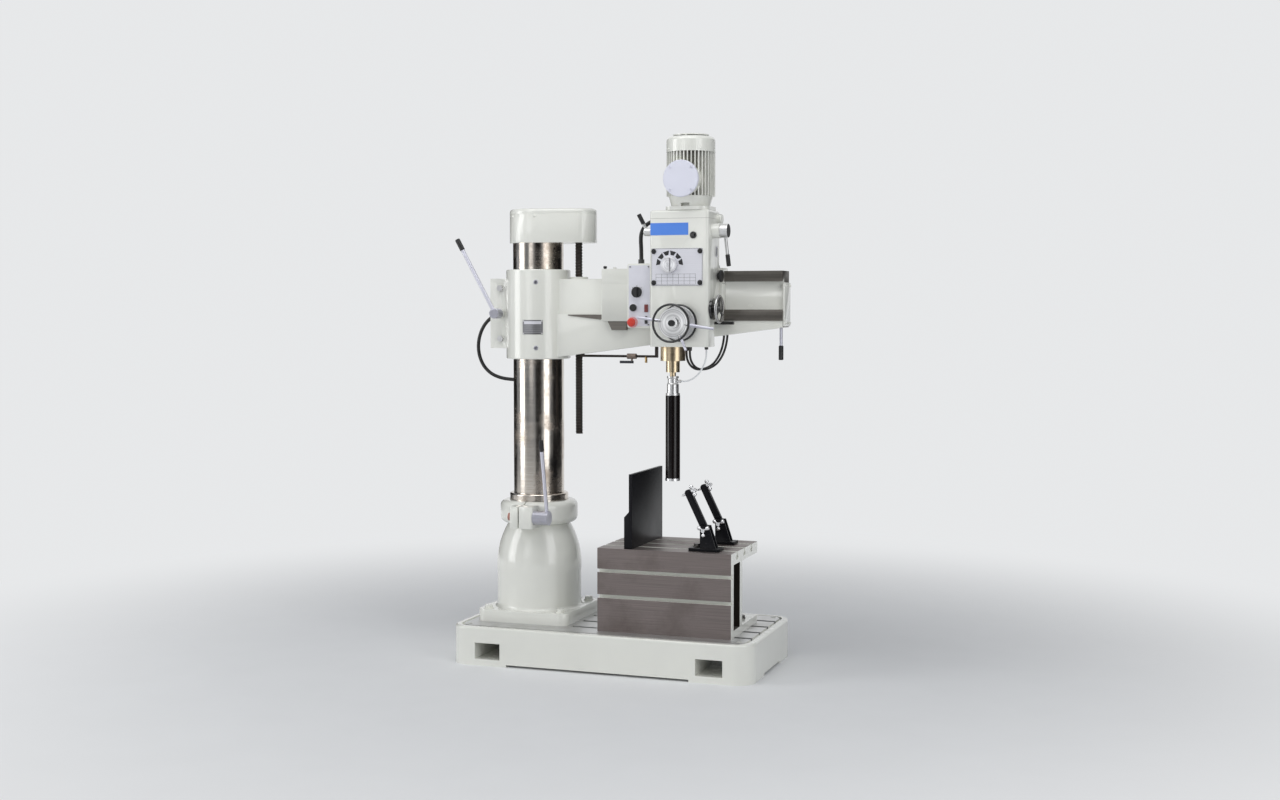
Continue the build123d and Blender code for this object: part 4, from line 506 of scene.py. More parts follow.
seam_shadow = moulded("seam_shadow", (0.34, 0.34, 0.31), (0.28, 0.28, 0.25), rub=0.4, dullness=0.6, bump=0.02)
stop_pink = moulded("stop_pink", (0.72, 0.40, 0.42), (0.66, 0.34, 0.36), rub=0.4, dullness=0.35, bump=0.02)
panel_pale = moulded("panel_pale", (0.70, 0.70, 0.76), (0.62, 0.62, 0.68), rub=0.4, dullness=0.32, bump=0.03)
print(len(bpy.data.materials), "materials in all")

# %% [markdown]
# Every node gets its finish. A node keeps its own mesh; only its material slot changes. The
# imported facets are smoothed by angle, so round pieces look round and cut edges stay crisp.

# %% Dress the nodes
finish_of = {
    cream: ["base_casting", "pedestal", "gear_cover", "gear_cover_lid", "arm_casting", "arm_end_plate",
            "head_housing", "saddle", "saddle_keeper", "motor_frame", "motor_cowl", "control_box",
            "box_table"],
    pale: ["terminal_box"],
    black_enamel: ["angle_plate", "clamp_bases", "clamp_arm_front", "clamp_arm_rear", "lift_motor"],
    barrel_lacquer: ["core_barrel"],
    column_steel: ["column_tube", "dust_ring"],
    lever_steel: ["column_clamp_lever", "arm_clamp_lever", "feed_levers"],
    dish_steel: ["feed_hub"],
    knob_steel: ["speed_dial"],
    turned_steel: ["right_shift_lever", "left_shift_lever", "arm_clamp_bolts", "thrust_bearing",
                   "quill_bearings", "water_swivel"],
    oiled_steel: ["lift_screw", "water_pipe"],
    quill_steel: ["quill", "spindle"],
    bolt_steel: ["holding_bolts"],
    bronze: ["lift_nut"],
    chrome: ["base_star_front", "base_star_rear", "jaw_star_front", "jaw_star_rear"],
    black_plastic: ["column_clamp_grip", "arm_clamp_grip", "swing_handle", "motor_fan", "selector_knob",
                    "start_button", "saddle_lock"],
    gloss_black: ["hand_rings", "traverse_handwheel"],
    red_plastic: ["stop_button"],
    valve_grey: ["valve_handle"],
    gland_grey: ["arm_cable_glands", "head_glands"],
}
smooth_angle = radians(42)
for material, names in finish_of.items():
    for name in names:
        mesh = nodes[name].data
        mesh.materials.clear()
        mesh.materials.append(material)
        mesh.shade_smooth()
        mesh.set_sharp_from_angle(angle=smooth_angle)
for cable in black_cables:
    cable.data.materials.clear()
    cable.data.materials.append(cable_rubber)
water_tube.data.materials.clear()
water_tube.data.materials.append(tube_white)
undressed = sorted(name for name in nodes if not any(name in names for names in finish_of.values()))
print("nodes that cables stand for:", undressed)

# %% [markdown]
# Some castings are painted in one place and machined in another: the table's front and top, the
# arm's ways, the deck of the base. A second material slot and a test on each face's place and
# direction draw that line, just as the painter masks it.

# %% Machined faces of the castings
def paint_faces(name, material, test):
    """Give a second finish to the faces that pass the test."""
    mesh = nodes[name].data
    world = nodes[name].matrix_world
    turn = world.to_3x3()
    mesh.materials.append(material)
    slot = len(mesh.materials) - 1
    chosen = [face for face in mesh.polygons if test(world @ face.center, turn @ face.normal)]
    for face in chosen:
        face.material_index = slot
    print(f"{name}: {len(chosen)} faces of {material.name}")


near = 0.0008
table_low, table_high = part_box("box_table")
arm_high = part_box("arm_casting")[1]
base_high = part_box("base_casting")[1]
saddle_low, saddle_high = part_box("saddle")
keeper_low, keeper_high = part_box("saddle_keeper")
hollow_front, hollow_back = table_low.y + 0.0375, table_low.y + 0.1275
hollow_floor, hollow_roof = table_low.z + 0.0295, table_high.z - 0.0455
way_front = saddle_low.y + 0.030
way_bottom, way_start = saddle_low.z + 0.003, saddle_low.x - 0.010
groove_low, groove_high = way_bottom + 0.044, way_bottom + 0.154
groove_depth, way_depth = 0.020, 0.026
deck_rim, deck_slot_depth = 0.036, 0.037


def on_table_work_face(place, normal):
    front = normal.y < -0.9 and place.y < table_low.y + near
    return front or (normal.z > 0.9 and place.z > table_high.z - near)


def in_table_hollow(place, normal):
    between_walls = hollow_front < place.y < hollow_back
    return between_walls and hollow_floor < place.z < hollow_roof and abs(normal.x) < 0.5


def on_arm_way(place, normal):
    if normal.x > 0.9 and place.x > arm_high.x - near:
        return True
    front = place.y < way_front + way_depth and place.x > way_start
    upper = place.z > groove_high - near
    lower = way_bottom - near < place.z < groove_low + near
    back_of_groove = normal.y < -0.9 and place.y > way_front + groove_depth
    return front and (upper or lower) and not back_of_groove and abs(normal.x) < 0.5


def on_deck(place, normal):
    inside = abs(place.x) < base_high.x - deck_rim and abs(place.y) < base_high.y - deck_rim
    return inside and place.z > base_high.z - deck_slot_depth and abs(normal.x) < 0.9


paint_faces("box_table", milled_iron, on_table_work_face)
# The faces inside the table's hollow get painted shade.
paint_faces("box_table", table_hollow_painted_shade, in_table_hollow)
paint_faces("arm_casting", way_iron, on_arm_way)
paint_faces("base_casting", deck_iron, on_deck)

# %% [markdown]
# Many small pieces are two things in one: a rod with a grip, a hub with a knob. For these the line
# between the finishes is a plain cut across one axis, a depth in from the piece's low end, or from its
# high end if the depth is negative.

# %% Two-tone pieces with a plain cut
def cut_place(node, axis, depth):
    """The number of the axis, and where the cut crosses it."""
    low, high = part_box(node)
    number = "XYZ".index(axis)
    return number, (low if depth > 0 else high)[number] + depth


def before(node, axis, depth):
    number, limit = cut_place(node, axis, depth)
    return lambda place, normal: place[number] < limit


def beyond(node, axis, depth):
    number, limit = cut_place(node, axis, depth)
    return lambda place, normal: place[number] > limit


for name, material, side, axis, depth in (
    ("swing_handle", lever_steel, beyond, "Z", 0.0572),  # the rod above the grip
    ("right_shift_lever", black_plastic, before, "Z", 0.0475),  # the grip at the rod's lower end
    ("left_shift_lever", black_plastic, beyond, "Z", -0.042),  # the grip at the rod's upper end
    ("core_barrel", chrome, before, "Z", 0.0105),  # the bit
    ("feed_hub", black_plastic, before, "Y", 0.0098),  # the cap in the middle of the dish
    ("saddle_lock", turned_steel, before, "X", 0.0081),  # the stud behind the knob
    ("arm_clamp_lever", hub_steel, before, "Z", 0.036),  # the hub below the rod
    ("column_clamp_lever", hub_steel, before, "Z", 0.060),  # the hub below the rod
    ("column_clamp_lever", rust_red, before, "X", 0.0125),  # the nut on the stud's left end
    ("terminal_box", cream, beyond, "Y", 0.0125),  # the neck behind the cover
):
    paint_faces(name, material, side(name, axis, depth))

# %% [markdown]
# The rest need a longer test, for the end of a hub, the rim of a wheel or the painted shade in
# the gaps between the motor's fins.

# %% Two-tone pieces with a longer test
shift_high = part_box("right_shift_lever")[1]
pipe_low, pipe_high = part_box("water_pipe")
valve_low, valve_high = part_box("valve_handle")
nut_low, nut_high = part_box("lift_nut")
nut_middle = (nut_low + nut_high) / 2
nut_flange, nut_collar, shift_hub = 0.030, 0.028, 0.0545
wheel_low, wheel_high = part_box("traverse_handwheel")
wheel_middle, wheel_reach = (wheel_low + wheel_high) / 2, (wheel_high.z - wheel_low.z) / 2
wheel_rim = 0.014
fan_low, fan_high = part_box("motor_fan")
motor_axis = (fan_low + fan_high) / 2
motor_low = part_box("motor_frame")[0]
motor_foot, fin_root = 0.055, 0.0812
barb_height, barb_reach = 0.020, 0.070
valve_inset, valve_half_length, valve_drop = 0.012, 0.030, 0.010
table_gap = 0.05


def on_shift_hub_end(place, normal):
    return normal.x > 0.6 and place.z > shift_high.z - shift_hub


def on_nut_flange(place, normal):
    on_top = normal.z > 0.5 and (place - nut_middle).xy.length > nut_collar
    return place.z > nut_high.z - nut_flange and (on_top or abs(normal.z) < 0.5)


def on_hose_barb(place, normal):
    return place.z < pipe_low.z + barb_height and place.x > pipe_high.x - barb_reach


def on_valve_body(place, normal):
    from_middle = abs(place.x - valve_high.x + valve_inset)
    return from_middle < valve_half_length and place.z > valve_low.z - valve_drop


def on_wheel_rim(place, normal):
    return (place - wheel_middle).yz.length > wheel_reach - wheel_rim


def between_fins(place, normal):
    on_core = (place - motor_axis).xy.length < fin_root
    return on_core and abs(normal.z) < 0.5 and place.z > motor_low.z + motor_foot


def left_of_table(place, normal):
    return place.x < table_low.x - table_gap


paint_faces("right_shift_lever", black_plastic, on_shift_hub_end)
paint_faces("lift_nut", cream, on_nut_flange)
paint_faces("water_pipe", bronze, on_hose_barb)
paint_faces("water_pipe", valve_brown, on_valve_body)
paint_faces("traverse_handwheel", wheel_steel, on_wheel_rim)
# The core between the fins gets painted shade.
paint_faces("motor_frame", fin_gap_painted_shade, between_fins)
paint_faces("holding_bolts", cream, left_of_table)

# %% [markdown]
# ## Small pieces
# Plates, screws, lamps and marks are too thin for the drawing of the castings, but a machine without
# them looks like a toy. They are all made one way: rings of points, joined by walls and closed by
# lids. A turned form, a plate with rounded corners and a cut plate only differ in their rings. A
# second set of tools puts the result on the body that carries it.

# %% Tools for small pieces
up = Vector((0.0, 0.0, 1.0))
front_side, right_side, top_side = Vector((0.0, -1.0, 0.0)), Vector((1.0, 0.0, 0.0)), up


def face_frame(place, outward):
    """Axes on a face: X to the right, Y up the face, Z out of it."""
    rise = up if abs(outward.z) < 0.9 else Vector((0.0, 1.0, 0.0))
    right = rise.cross(outward).normalized()
    axes = Matrix((right, outward.cross(right), outward)).transposed().to_4x4()
    return Matrix.Translation(place) @ axes


def middle_at(node, y):
    """Middle of a node's box as the front shows it, at the depth y."""
    low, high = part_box(node)
    return Vector(((low.x + high.x) / 2, y, (low.z + high.z) / 2))


def sideways(turn):
    """Sideways direction at an angle round an upright axis."""
    return Vector((cos(turn), sin(turn), 0.0))


def join_rings(bm, rings, endless=False):
    """Walls from each ring of points to the next. The two ends get lids, or meet if it is endless."""
    rings = [[bm.verts.new(point) for point in ring] for ring in rings]
    following = rings[1:] + rings[:1] if endless else rings[1:]
    for low, high in zip(rings, following):
        for step in range(len(low)):
            after = (step + 1) % len(low)
            bm.faces.new((low[step], low[after], high[after], high[step]))
    if not endless:
        bm.faces.new(rings[0][::-1])
        bm.faces.new(rings[-1])


def turned(bm, place, outward, profile, steps=36, hexagons=0):
    """Rings of (radius, height) joined into a turned form; the last rings may be hexagons."""
    axes = face_frame(place, outward)
    rings = []
    for number, (radius, height) in enumerate(profile):
        ring = []
        for step in range(steps):
            angle = tau * step / steps
            reach = radius
            if len(profile) - number <= hexagons:
                reach *= cos(pi / 6) / cos(angle % (pi / 3) - pi / 6)
            ring.append(axes @ Vector((reach * cos(angle), reach * sin(angle), height)))
        rings.append(ring)
    join_rings(bm, rings)


def plate(bm, place, outward, width, height, thickness, radius=0.002, corner_steps=4):
    """Plate with rounded corners, its back on the face."""
    axes = face_frame(place, outward)
    outline = []
    for quarter, (side, lift) in enumerate(((1, 1), (-1, 1), (-1, -1), (1, -1))):
        centre = (side * (width / 2 - radius), lift * (height / 2 - radius))
        for step in range(corner_steps + 1):
            angle = (quarter + step / corner_steps) * pi / 2
            outline.append((centre[0] + radius * cos(angle), centre[1] + radius * sin(angle)))
    join_rings(bm, [[axes @ Vector((x, y, depth)) for x, y in outline] for depth in (0.0, thickness)])


def cut_plate(bm, outline, y_back, y_front):
    """Plate on the front of the machine with its outline given as (x, z) corners."""
    join_rings(bm, [[(x, y, z) for x, z in outline] for y in (y_back, y_front)])


# %% Tools that make a whole piece
def add_bevel(piece, width):
    rounding = piece.modifiers.new("edge", "BEVEL")
    rounding.width = width
    rounding.segments = 2
    rounding.limit_method = "ANGLE"
    return rounding


def put(name, bm, material, body, bevel=0.0):
    """Turn a build mesh into a piece that rides a body."""
    bmesh.ops.recalc_face_normals(bm, faces=bm.faces)
    mesh = bpy.data.meshes.new(name)
    bm.to_mesh(mesh)
    bm.free()
    mesh.materials.append(material)
    mesh.shade_smooth()
    mesh.set_sharp_from_angle(angle=smooth_angle)
    piece = bpy.data.objects.new(name, mesh)
    bpy.context.scene.collection.objects.link(piece)
    if bevel:
        add_bevel(piece, bevel)
    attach(piece, body)
    print(f"{name}: {len(mesh.polygons)} faces on {body}")
    return piece


def plates(name, rows, material, body, bevel=0.0):
    """One piece of plates; each row holds what plate() takes after the build mesh."""
    bm = bmesh.new()
    for row in rows:
        plate(bm, *row)
    return put(name, bm, material, body, bevel)


def turnings(name, spots, profile, material, body, steps=36, hexagons=0):
    """One piece of equal turned forms, each at its own (place, outward) spot."""
    bm = bmesh.new()
    for place, outward in spots:
        turned(bm, place, outward, profile, steps, hexagons)
    return put(name, bm, material, body)


def socket_screws(name, places, outward, radius, material, body):
    """Cap screws with a hexagon socket, one piece for the whole row."""
    profile = [(radius, 0.0), (radius, radius * 0.8), (radius * 0.86, radius), (radius * 0.56, radius),
               (radius * 0.52, radius), (radius * 0.52, radius * 0.35)]
    spots = [(Vector(place), outward) for place in places]
    return turnings(name, spots, profile, material, body, steps=24, hexagons=2)


# %% [markdown]
# **Speed plate.** A silver plate sits behind the speed knob, held by four black corner screws. An arc
# of dark marks surrounds the knob and a ruled box fills the lower edge. The marks carry no words.

# %% Speed plate on the head
head_low, head_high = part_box("head_housing")
head_front = head_low.y
dial_centre = middle_at("speed_dial", head_front)
plate_width, plate_height, plate_thickness = 0.208, 0.145, 0.0022
plate_centre = Vector((dial_centre.x + 0.0295, head_front, dial_centre.z - 0.0085))
plates("speed_plate", [(plate_centre, front_side, plate_width, plate_height, plate_thickness, 0.004)],
       plate_silver, "head")

mark_face = head_front - plate_thickness
mark_count, first_mark, mark_spacing = 6, 168, 31.2
mark_inner, mark_outer, mark_thickness = 0.0385, 0.0555, 0.0003
half_inner, half_outer = radians(9), radians(13.5)
bm = bmesh.new()
for mark in range(mark_count):
    middle = radians(first_mark - mark * mark_spacing)
    corners = [(mark_inner, middle + half_inner), (mark_outer, middle + half_outer),
               (mark_outer, middle - half_outer), (mark_inner, middle - half_inner)]
    outline = [(dial_centre.x + r * cos(a), dial_centre.z + r * sin(a)) for r, a in corners]
    cut_plate(bm, outline, mark_face, mark_face - mark_thickness)
put("speed_marks", bm, legend_dark, "head")

# %% Ruled lines and screws of the speed plate
box_left, box_right = plate_centre.x - 0.085, plate_centre.x + 0.076
box_low, box_high = plate_centre.z - 0.067, plate_centre.z - 0.027
box_width, box_height = box_right - box_left, box_high - box_low
box_x, box_z = (box_left + box_right) / 2, (box_low + box_high) / 2
box_rows, box_columns = 3, 7
rule, edge_rule, edge_inset = 0.0007, 0.0012, 0.0016
# Standing rules are a little thicker than lying ones, so that no two tops share a plane where they cross.
lying, standing, rule_corner = 0.0002, 0.0003, 0.0002
edge_width, edge_height = plate_width - 2 * edge_inset, plate_height - 2 * edge_inset
rules = [(box_x, box_low + box_height * row / box_rows, box_width, rule, lying)
         for row in range(box_rows + 1)]
rules += [(box_left + box_width * column / box_columns, box_z, rule, box_height, standing)
          for column in range(box_columns + 1)]
rules += [(plate_centre.x, plate_centre.z + lift * edge_height / 2, edge_width, edge_rule, lying)
          for lift in (-1, 1)]
rules += [(plate_centre.x + side * edge_width / 2, plate_centre.z, edge_rule, edge_height, standing)
          for side in (-1, 1)]
plates("speed_rules", [(Vector((x, mark_face, z)), front_side, width, height, thickness, rule_corner, 1)
                       for x, z, width, height, thickness in rules], legend_dark, "head")

screw_x, screw_z = 0.094, 0.0605
turnings("speed_plate_screws",
         [(plate_centre + Vector((side * screw_x, -plate_thickness, lift * screw_z)), front_side)
          for side in (-1, 1) for lift in (-1, 1)],
         [(0.0098, 0.0), (0.0098, 0.0032), (0.0080, 0.0046), (0.0026, 0.0046), (0.0021, 0.0032)],
         black_plastic, "head", steps=24)

# %% [markdown]
# **Strip and sight glass.** A plain blue strip closes the top of the head's face, and beside it sits
# the oil sight: a ring round a dark, glossy window. A second, upright window is on the right side, and
# a fine shadow line runs round the head where its lid sits.

# %% Blue strip, oil sight and lid seam
strip_centre = Vector((dial_centre.x - 0.002, head_front, dial_centre.z + 0.1385))
plates("head_strip", [(strip_centre, front_side, 0.154, 0.047, 0.0012, 0.001)],
       strip_blue, "head")

sight_centre = Vector((dial_centre.x + 0.0955, head_front, dial_centre.z + 0.114))
glass_sunk = Vector((0.0, 0.0020, 0.0))
turnings("oil_sight_ring", [(sight_centre, front_side)],
         [(0.0135, 0.0), (0.0135, 0.0028), (0.0122, 0.0040), (0.0105, 0.0040), (0.0100, 0.0022)],
         gloss_black, "head")
turnings("oil_sight_glass", [(sight_centre - glass_sunk, front_side)],
         [(0.0099, 0.0), (0.0085, 0.0012), (0.0040, 0.0020)], gloss_black, "head")

head_width = 0.240
level_frame_thickness = 0.0012
level_place = Vector((head_low.x + head_width, -0.150, 1.668))
plates("level_frame", [(level_place, right_side, 0.020, 0.042, level_frame_thickness, 0.005)],
       plate_silver, "head")
window_place = level_place + right_side * level_frame_thickness
plates("level_window", [(window_place, right_side, 0.012, 0.032, 0.0008, 0.004)],
       gloss_black, "head")

seam_drop, seam_proud, seam_thickness, seam_corner = 0.033, 0.0006, 0.0011, 0.0122
seam_place = Vector((head_low.x + head_width / 2, (head_low.y + head_high.y) / 2, head_high.z - seam_drop))
seam_width, seam_length = head_width + seam_proud, head_high.y - head_low.y + seam_proud
plates("head_lid_seam", [(seam_place, top_side, seam_width, seam_length, seam_thickness, seam_corner, 8)],
       seam_shadow, "head")

# %% [markdown]
# **Control panel.** The box on the head's left has a pale face with a plate round the selector and
# rings round the buttons. The red stop sits on a pink disc. A red lamp and two small switches stand to
# the right of the buttons.

# %% Control panel
control_low, control_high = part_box("control_box")
panel_thickness, plate_on_panel, stop_disc_thickness = 0.0010, 0.0004, 0.0006
panel_back = middle_at("control_box", control_low.y)
panel_face = control_low.y - panel_thickness
plates("control_face", [(panel_back, front_side, 0.088, 0.238, panel_thickness, 0.004)],
       panel_pale, "head")

selector_at, start_at, stop_at = [middle_at(node, panel_face)
                                  for node in ("selector_knob", "start_button", "stop_button")]
plates("selector_plate", [(selector_at, front_side, 0.056, 0.054, plate_on_panel, 0.003)],
       plate_silver, "head")
dot_reach = 0.0245
turnings("selector_dots",
         [(selector_at + Vector((dot_reach * cos(turn), -plate_on_panel, dot_reach * sin(turn))), front_side)
          for turn in (radians(45), radians(90), radians(135))],
         [(0.0016, 0.0), (0.0014, 0.0003)], legend_dark, "head", steps=16)
turnings("start_ring", [(start_at, front_side)],
         [(0.0175, 0.0), (0.0175, 0.0026), (0.0160, 0.0036), (0.0149, 0.0036), (0.0149, -0.0030)],
         plate_silver, "head")
turnings("stop_disc", [(stop_at, front_side)], [(0.0215, 0.0), (0.0215, stop_disc_thickness)],
         stop_pink, "head", steps=48)
turnings("stop_ring", [(stop_at + front_side * stop_disc_thickness, front_side)],
         [(0.0135, 0.0), (0.0135, 0.0024), (0.0124, 0.0032), (0.0095, 0.0032)], plate_silver, "head")

# %% Stop button, lamp and switches
stop_cap = turnings("stop_mushroom", [(stop_at - front_side * panel_thickness, front_side)],
                    [(0.0085, 0.0), (0.0085, 0.0090), (0.0150, 0.0115), (0.0170, 0.0145), (0.0170, 0.0185),
                     (0.0156, 0.0215), (0.0115, 0.0234), (0.0050, 0.0240)],
                    red_plastic, "stop", steps=40)
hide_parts("stop_button")
lamp_x = control_high.x - 0.021
lamp_at = Vector((lamp_x, panel_face, control_low.z + 0.077))
plates("panel_lamp", [(lamp_at, front_side, 0.015, 0.030, 0.0040, 0.002)],
       dark_red, "head", bevel=0.0012)
plates("panel_switches",
       [(Vector((lamp_x, panel_face, control_low.z + rise)), front_side, width, height, 0.0034, 0.0015)
        for rise, width, height in ((0.042, 0.010, 0.007), (0.024, 0.012, 0.015))],
       black_plastic, "head", bevel=0.0008)
panel_screw_x, panel_screw_z = 0.038, 0.113
socket_screws("panel_screws",
              [(panel_back.x + side * panel_screw_x, panel_face, panel_back.z + lift * panel_screw_z)
               for side in (-1, 1) for lift in (-1, 1)], front_side, 0.0026, bolt_steel, "head")

# %% [markdown]
# **Plate on the sleeve.** A thin dark plate with silver fields is bent round the arm's sleeve and held
# by four rivets. Walking round the sleeve's radius in small steps gives the bend. One set screw sits
# above the plate and one below it.

# %% Sleeve plate and set screws
tube_low, tube_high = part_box("column_tube")
column_axis = Vector(((tube_low.x + tube_high.x) / 2, 0.0, 0.0))
sleeve_radius = 0.134


def on_sleeve(turn, z, proud=0.0):
    """Point on the sleeve at an angle and a height."""
    return column_axis + sideways(turn) * (sleeve_radius + proud) + up * z


def wrapped_plate(bm, turn, z, width, height, thickness, steps=14):
    """Thin plate bent round the sleeve."""
    spread = width / sleeve_radius
    corners = ((0.0, -height / 2), (0.0, height / 2), (thickness, height / 2), (thickness, -height / 2))
    join_rings(bm, [[on_sleeve(turn + spread * (step / steps - 0.5), z + lift, proud)
                     for proud, lift in corners] for step in range(steps + 1)])


plate_turn, plate_z = radians(-78), 1.370
field_width, field_height, field_rise = 0.072, 0.0125, 0.0185
line_count, line_height, first_line, line_spacing = 4, 0.0008, 0.005, 0.0085
bm = bmesh.new()
wrapped_plate(bm, plate_turn, plate_z, 0.085, 0.059, 0.0010)
put("sleeve_plate", bm, plate_dark, "arm")
bm = bmesh.new()
wrapped_plate(bm, plate_turn, plate_z + field_rise, field_width, field_height, 0.0013)
for line in range(line_count):
    line_z = plate_z + first_line - line * line_spacing
    wrapped_plate(bm, plate_turn, line_z, field_width, line_height, 0.0012)
put("sleeve_plate_fields", bm, plate_silver, "arm")

rivet_turn, rivet_z, rivet_foot = 0.0385 / sleeve_radius, 0.0255, 0.0008
turnings("sleeve_plate_rivets",
         [(on_sleeve(plate_turn + side * rivet_turn, plate_z + lift * rivet_z, rivet_foot),
           sideways(plate_turn + side * rivet_turn)) for side in (-1, 1) for lift in (-1, 1)],
         [(0.0024, 0.0), (0.0022, 0.0010), (0.0012, 0.0016)], chrome, "arm", steps=16)
set_screw_turn, set_screw_foot = radians(-72), -0.0006
turnings("sleeve_set_screws",
         [(on_sleeve(set_screw_turn, z, set_screw_foot), sideways(set_screw_turn))
          for z in (1.554, 1.285)],
         [(0.0095, 0.0), (0.0095, 0.0018), (0.0084, 0.0026), (0.0052, 0.0026), (0.0048, 0.0024),
          (0.0048, 0.0010)], hub_steel, "arm", steps=24, hexagons=2)

# %% [markdown]
# ** Saddle and arm fittings.** Below the saddle's right end a black wiper runs along the lower way, and
# below its left end hangs a bare iron gib. Left of the saddle a thin dark iron strip that tapers off
# stands for the lower way's bare run-out and paints the shadow under its ledge. An oil cap stands on
# the saddle's left end, and cap screws hold the keeper and the arm's end plate.

# %% Gib, and run-out of the way with painted shadow
gib_left, gib_right, gib_slant = saddle_low.x + 0.023, saddle_low.x + 0.104, 0.017
gib_top, gib_bottom, gib_front = saddle_low.z, saddle_low.z - 0.036, saddle_low.y + 0.008
bm = bmesh.new()
cut_plate(bm, [(gib_left, gib_top), (gib_left + gib_slant, gib_bottom), (gib_right, gib_bottom),
               (gib_right, gib_top)], way_front - 0.0003, gib_front)
put("saddle_gib", bm, way_iron, "head", bevel=0.0015)

# A thin strip in way iron: the lower way's bare run-out, and a painted shadow under the ledge.
strip_left, strip_right, strip_low, strip_high = saddle_low.x - 0.158, saddle_low.x - 0.004, 1.4010, 1.4215
bm = bmesh.new()
cut_plate(bm, [(strip_left, strip_high - 0.004), (strip_right - 0.012, strip_low),
               (strip_right, strip_low + 0.006), (strip_right, strip_high - 0.006),
               (strip_right - 0.008, strip_high), (strip_left, strip_high)], way_front, way_front - 0.0008)
put("way_run_out", bm, way_iron, "arm")

# %% Wiper, oil cap and cap screws
wiper_place = Vector((saddle_high.x - 0.004, saddle_low.y + 0.013, saddle_low.z - 0.012))
plates("saddle_wiper", [(wiper_place, top_side, 0.096, 0.022, 0.012, 0.002)],
       cable_rubber, "head", bevel=0.001)
oil_cap_place = Vector((keeper_low.x + 0.010, keeper_low.y + 0.016, keeper_high.z))
turnings("saddle_oil_cap", [(oil_cap_place, top_side)],
         [(0.0060, 0.0), (0.0060, 0.0040), (0.0076, 0.0050), (0.0076, 0.0095), (0.0050, 0.0115)],
         black_plastic, "head", steps=24)
first_keeper_screw, keeper_spacing, keeper_inset = keeper_low.x + 0.045, 0.104, 0.034
socket_screws("keeper_screws",
              [(first_keeper_screw + keeper_spacing * number, keeper_low.y + keeper_inset, keeper_high.z)
               for number in range(5)], top_side, 0.0065, cream, "head")
end_low, end_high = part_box("arm_end_plate")
end_inset = 0.012
socket_screws("end_plate_screws",
              [(end_high.x, y, z) for y in (end_low.y + end_inset, end_high.y - end_inset)
               for z in (end_low.z + end_inset, end_high.z - end_inset)],
              right_side, 0.0050, cream, "arm")

# %% [markdown]
# **Fork tunnels.** The openings in the base for a fork lift's tines are cast tunnels, and a look into
# one shows its painted wall and floor. Each tunnel is a rectangular tube between the front wall and
# the back wall of the hollow base.

# %% Fork tunnels in the base
tunnel_half_width, tunnel_floor, tunnel_roof, tunnel_wall = 0.055, 0.027, 0.093, 0.006
tunnel_end = base_high.y - 0.030
bm = bmesh.new()
for tunnel_x in (-0.468, 0.468):
    rings = []
    for spread, y in ((0.0, -tunnel_end), (0.0, tunnel_end), (tunnel_wall, tunnel_end),
                      (tunnel_wall, -tunnel_end)):
        left, right = tunnel_x - tunnel_half_width - spread, tunnel_x + tunnel_half_width + spread
        low, high = tunnel_floor - spread, tunnel_roof + spread
        rings.append([(x, y, z) for x, z in ((left, low), (right, low), (right, high), (left, high))])
    join_rings(bm, rings, endless=True)
put("fork_tunnels", bm, cream, "base")

# %% [markdown]
# **Cover screws.** The lid of the gear cover is held from the sides. The motor's cowl is held by
# four small screws at its lower edge, and the terminal cover by four at its rim.

# %% Cover, cowl and terminal screws
screw_sunk = 0.0004
cover_low, cover_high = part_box("gear_cover")
cover_ring = column_axis + up * (cover_high.z - 0.010)
cover_reach = (cover_high.y - cover_low.y) / 2 - screw_sunk
cover_turns = [sideways(radians(turn)) for turn in (-130, -75, 75, 130, 180)]
turnings("cover_screws", [(cover_ring + outward * cover_reach, outward) for outward in cover_turns],
         [(0.0052, 0.0), (0.0052, 0.0022), (0.0036, 0.0034), (0.0012, 0.0034)],
         cream, "column", steps=20)
cowl_low, cowl_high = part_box("motor_cowl")
cowl_ring = Vector(((cowl_low.x + cowl_high.x) / 2, (cowl_low.y + cowl_high.y) / 2, cowl_low.z + 0.010))
cowl_reach = (cowl_high.x - cowl_low.x) / 2 - screw_sunk
cowl_turns = [sideways(radians(turn)) for turn in (-140, -50, 40, 130)]
turnings("cowl_screws", [(cowl_ring + outward * cowl_reach, outward) for outward in cowl_turns],
         [(0.0046, 0.0), (0.0046, 0.0016), (0.0032, 0.0030), (0.0010, 0.0030)],
         cream, "head", steps=20)
terminal_middle = middle_at("terminal_box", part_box("terminal_box")[0].y)
terminal_reach = 0.060
socket_screws("terminal_screws",
              [terminal_middle + Vector((cos(radians(turn)), 0.0, sin(radians(turn)))) * terminal_reach
               for turn in (45, 135, 225, 315)], front_side, 0.0038, pale, "head")

# %% [markdown]
# **Lift screw.** The drawing keeps the screw as a plain rod. A real one has a trapezoid thread, so a
# ridge is wound round the rod: each point's reach depends on how far its height is from the helix.

# %% Threaded lift screw
rod_low, rod_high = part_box("lift_screw")
rod_centre = (rod_low + rod_high) / 2
thread_pitch, thread_crest, thread_root = 0.012, 0.0150, 0.0128
wave_tip, wave_slope = 2.2, 5.94
head_height, head_reach = 0.012, (rod_high.x - rod_low.x) / 2
thread_top = rod_high.z - head_height
turn_steps, pitch_steps = 20, 6
row_count = int((thread_top - rod_low.z) / thread_pitch * pitch_steps)


def thread_reach(turn_share, z):
    """A steep triangle wave along the rod, cut flat at the crest and at the root."""
    phase = (z / thread_pitch - turn_share) % 1.0
    share = min(1.0, max(0.0, wave_tip - wave_slope * abs(phase - 0.5)))
    return thread_root + (thread_crest - thread_root) * share


def rod_ring(z, reach_at):
    """Ring of points round the rod at one height."""
    shares = [step / turn_steps for step in range(turn_steps)]
    return [(rod_centre.x + reach_at(share, z) * cos(tau * share),
             rod_centre.y + reach_at(share, z) * sin(tau * share), z) for share in shares]


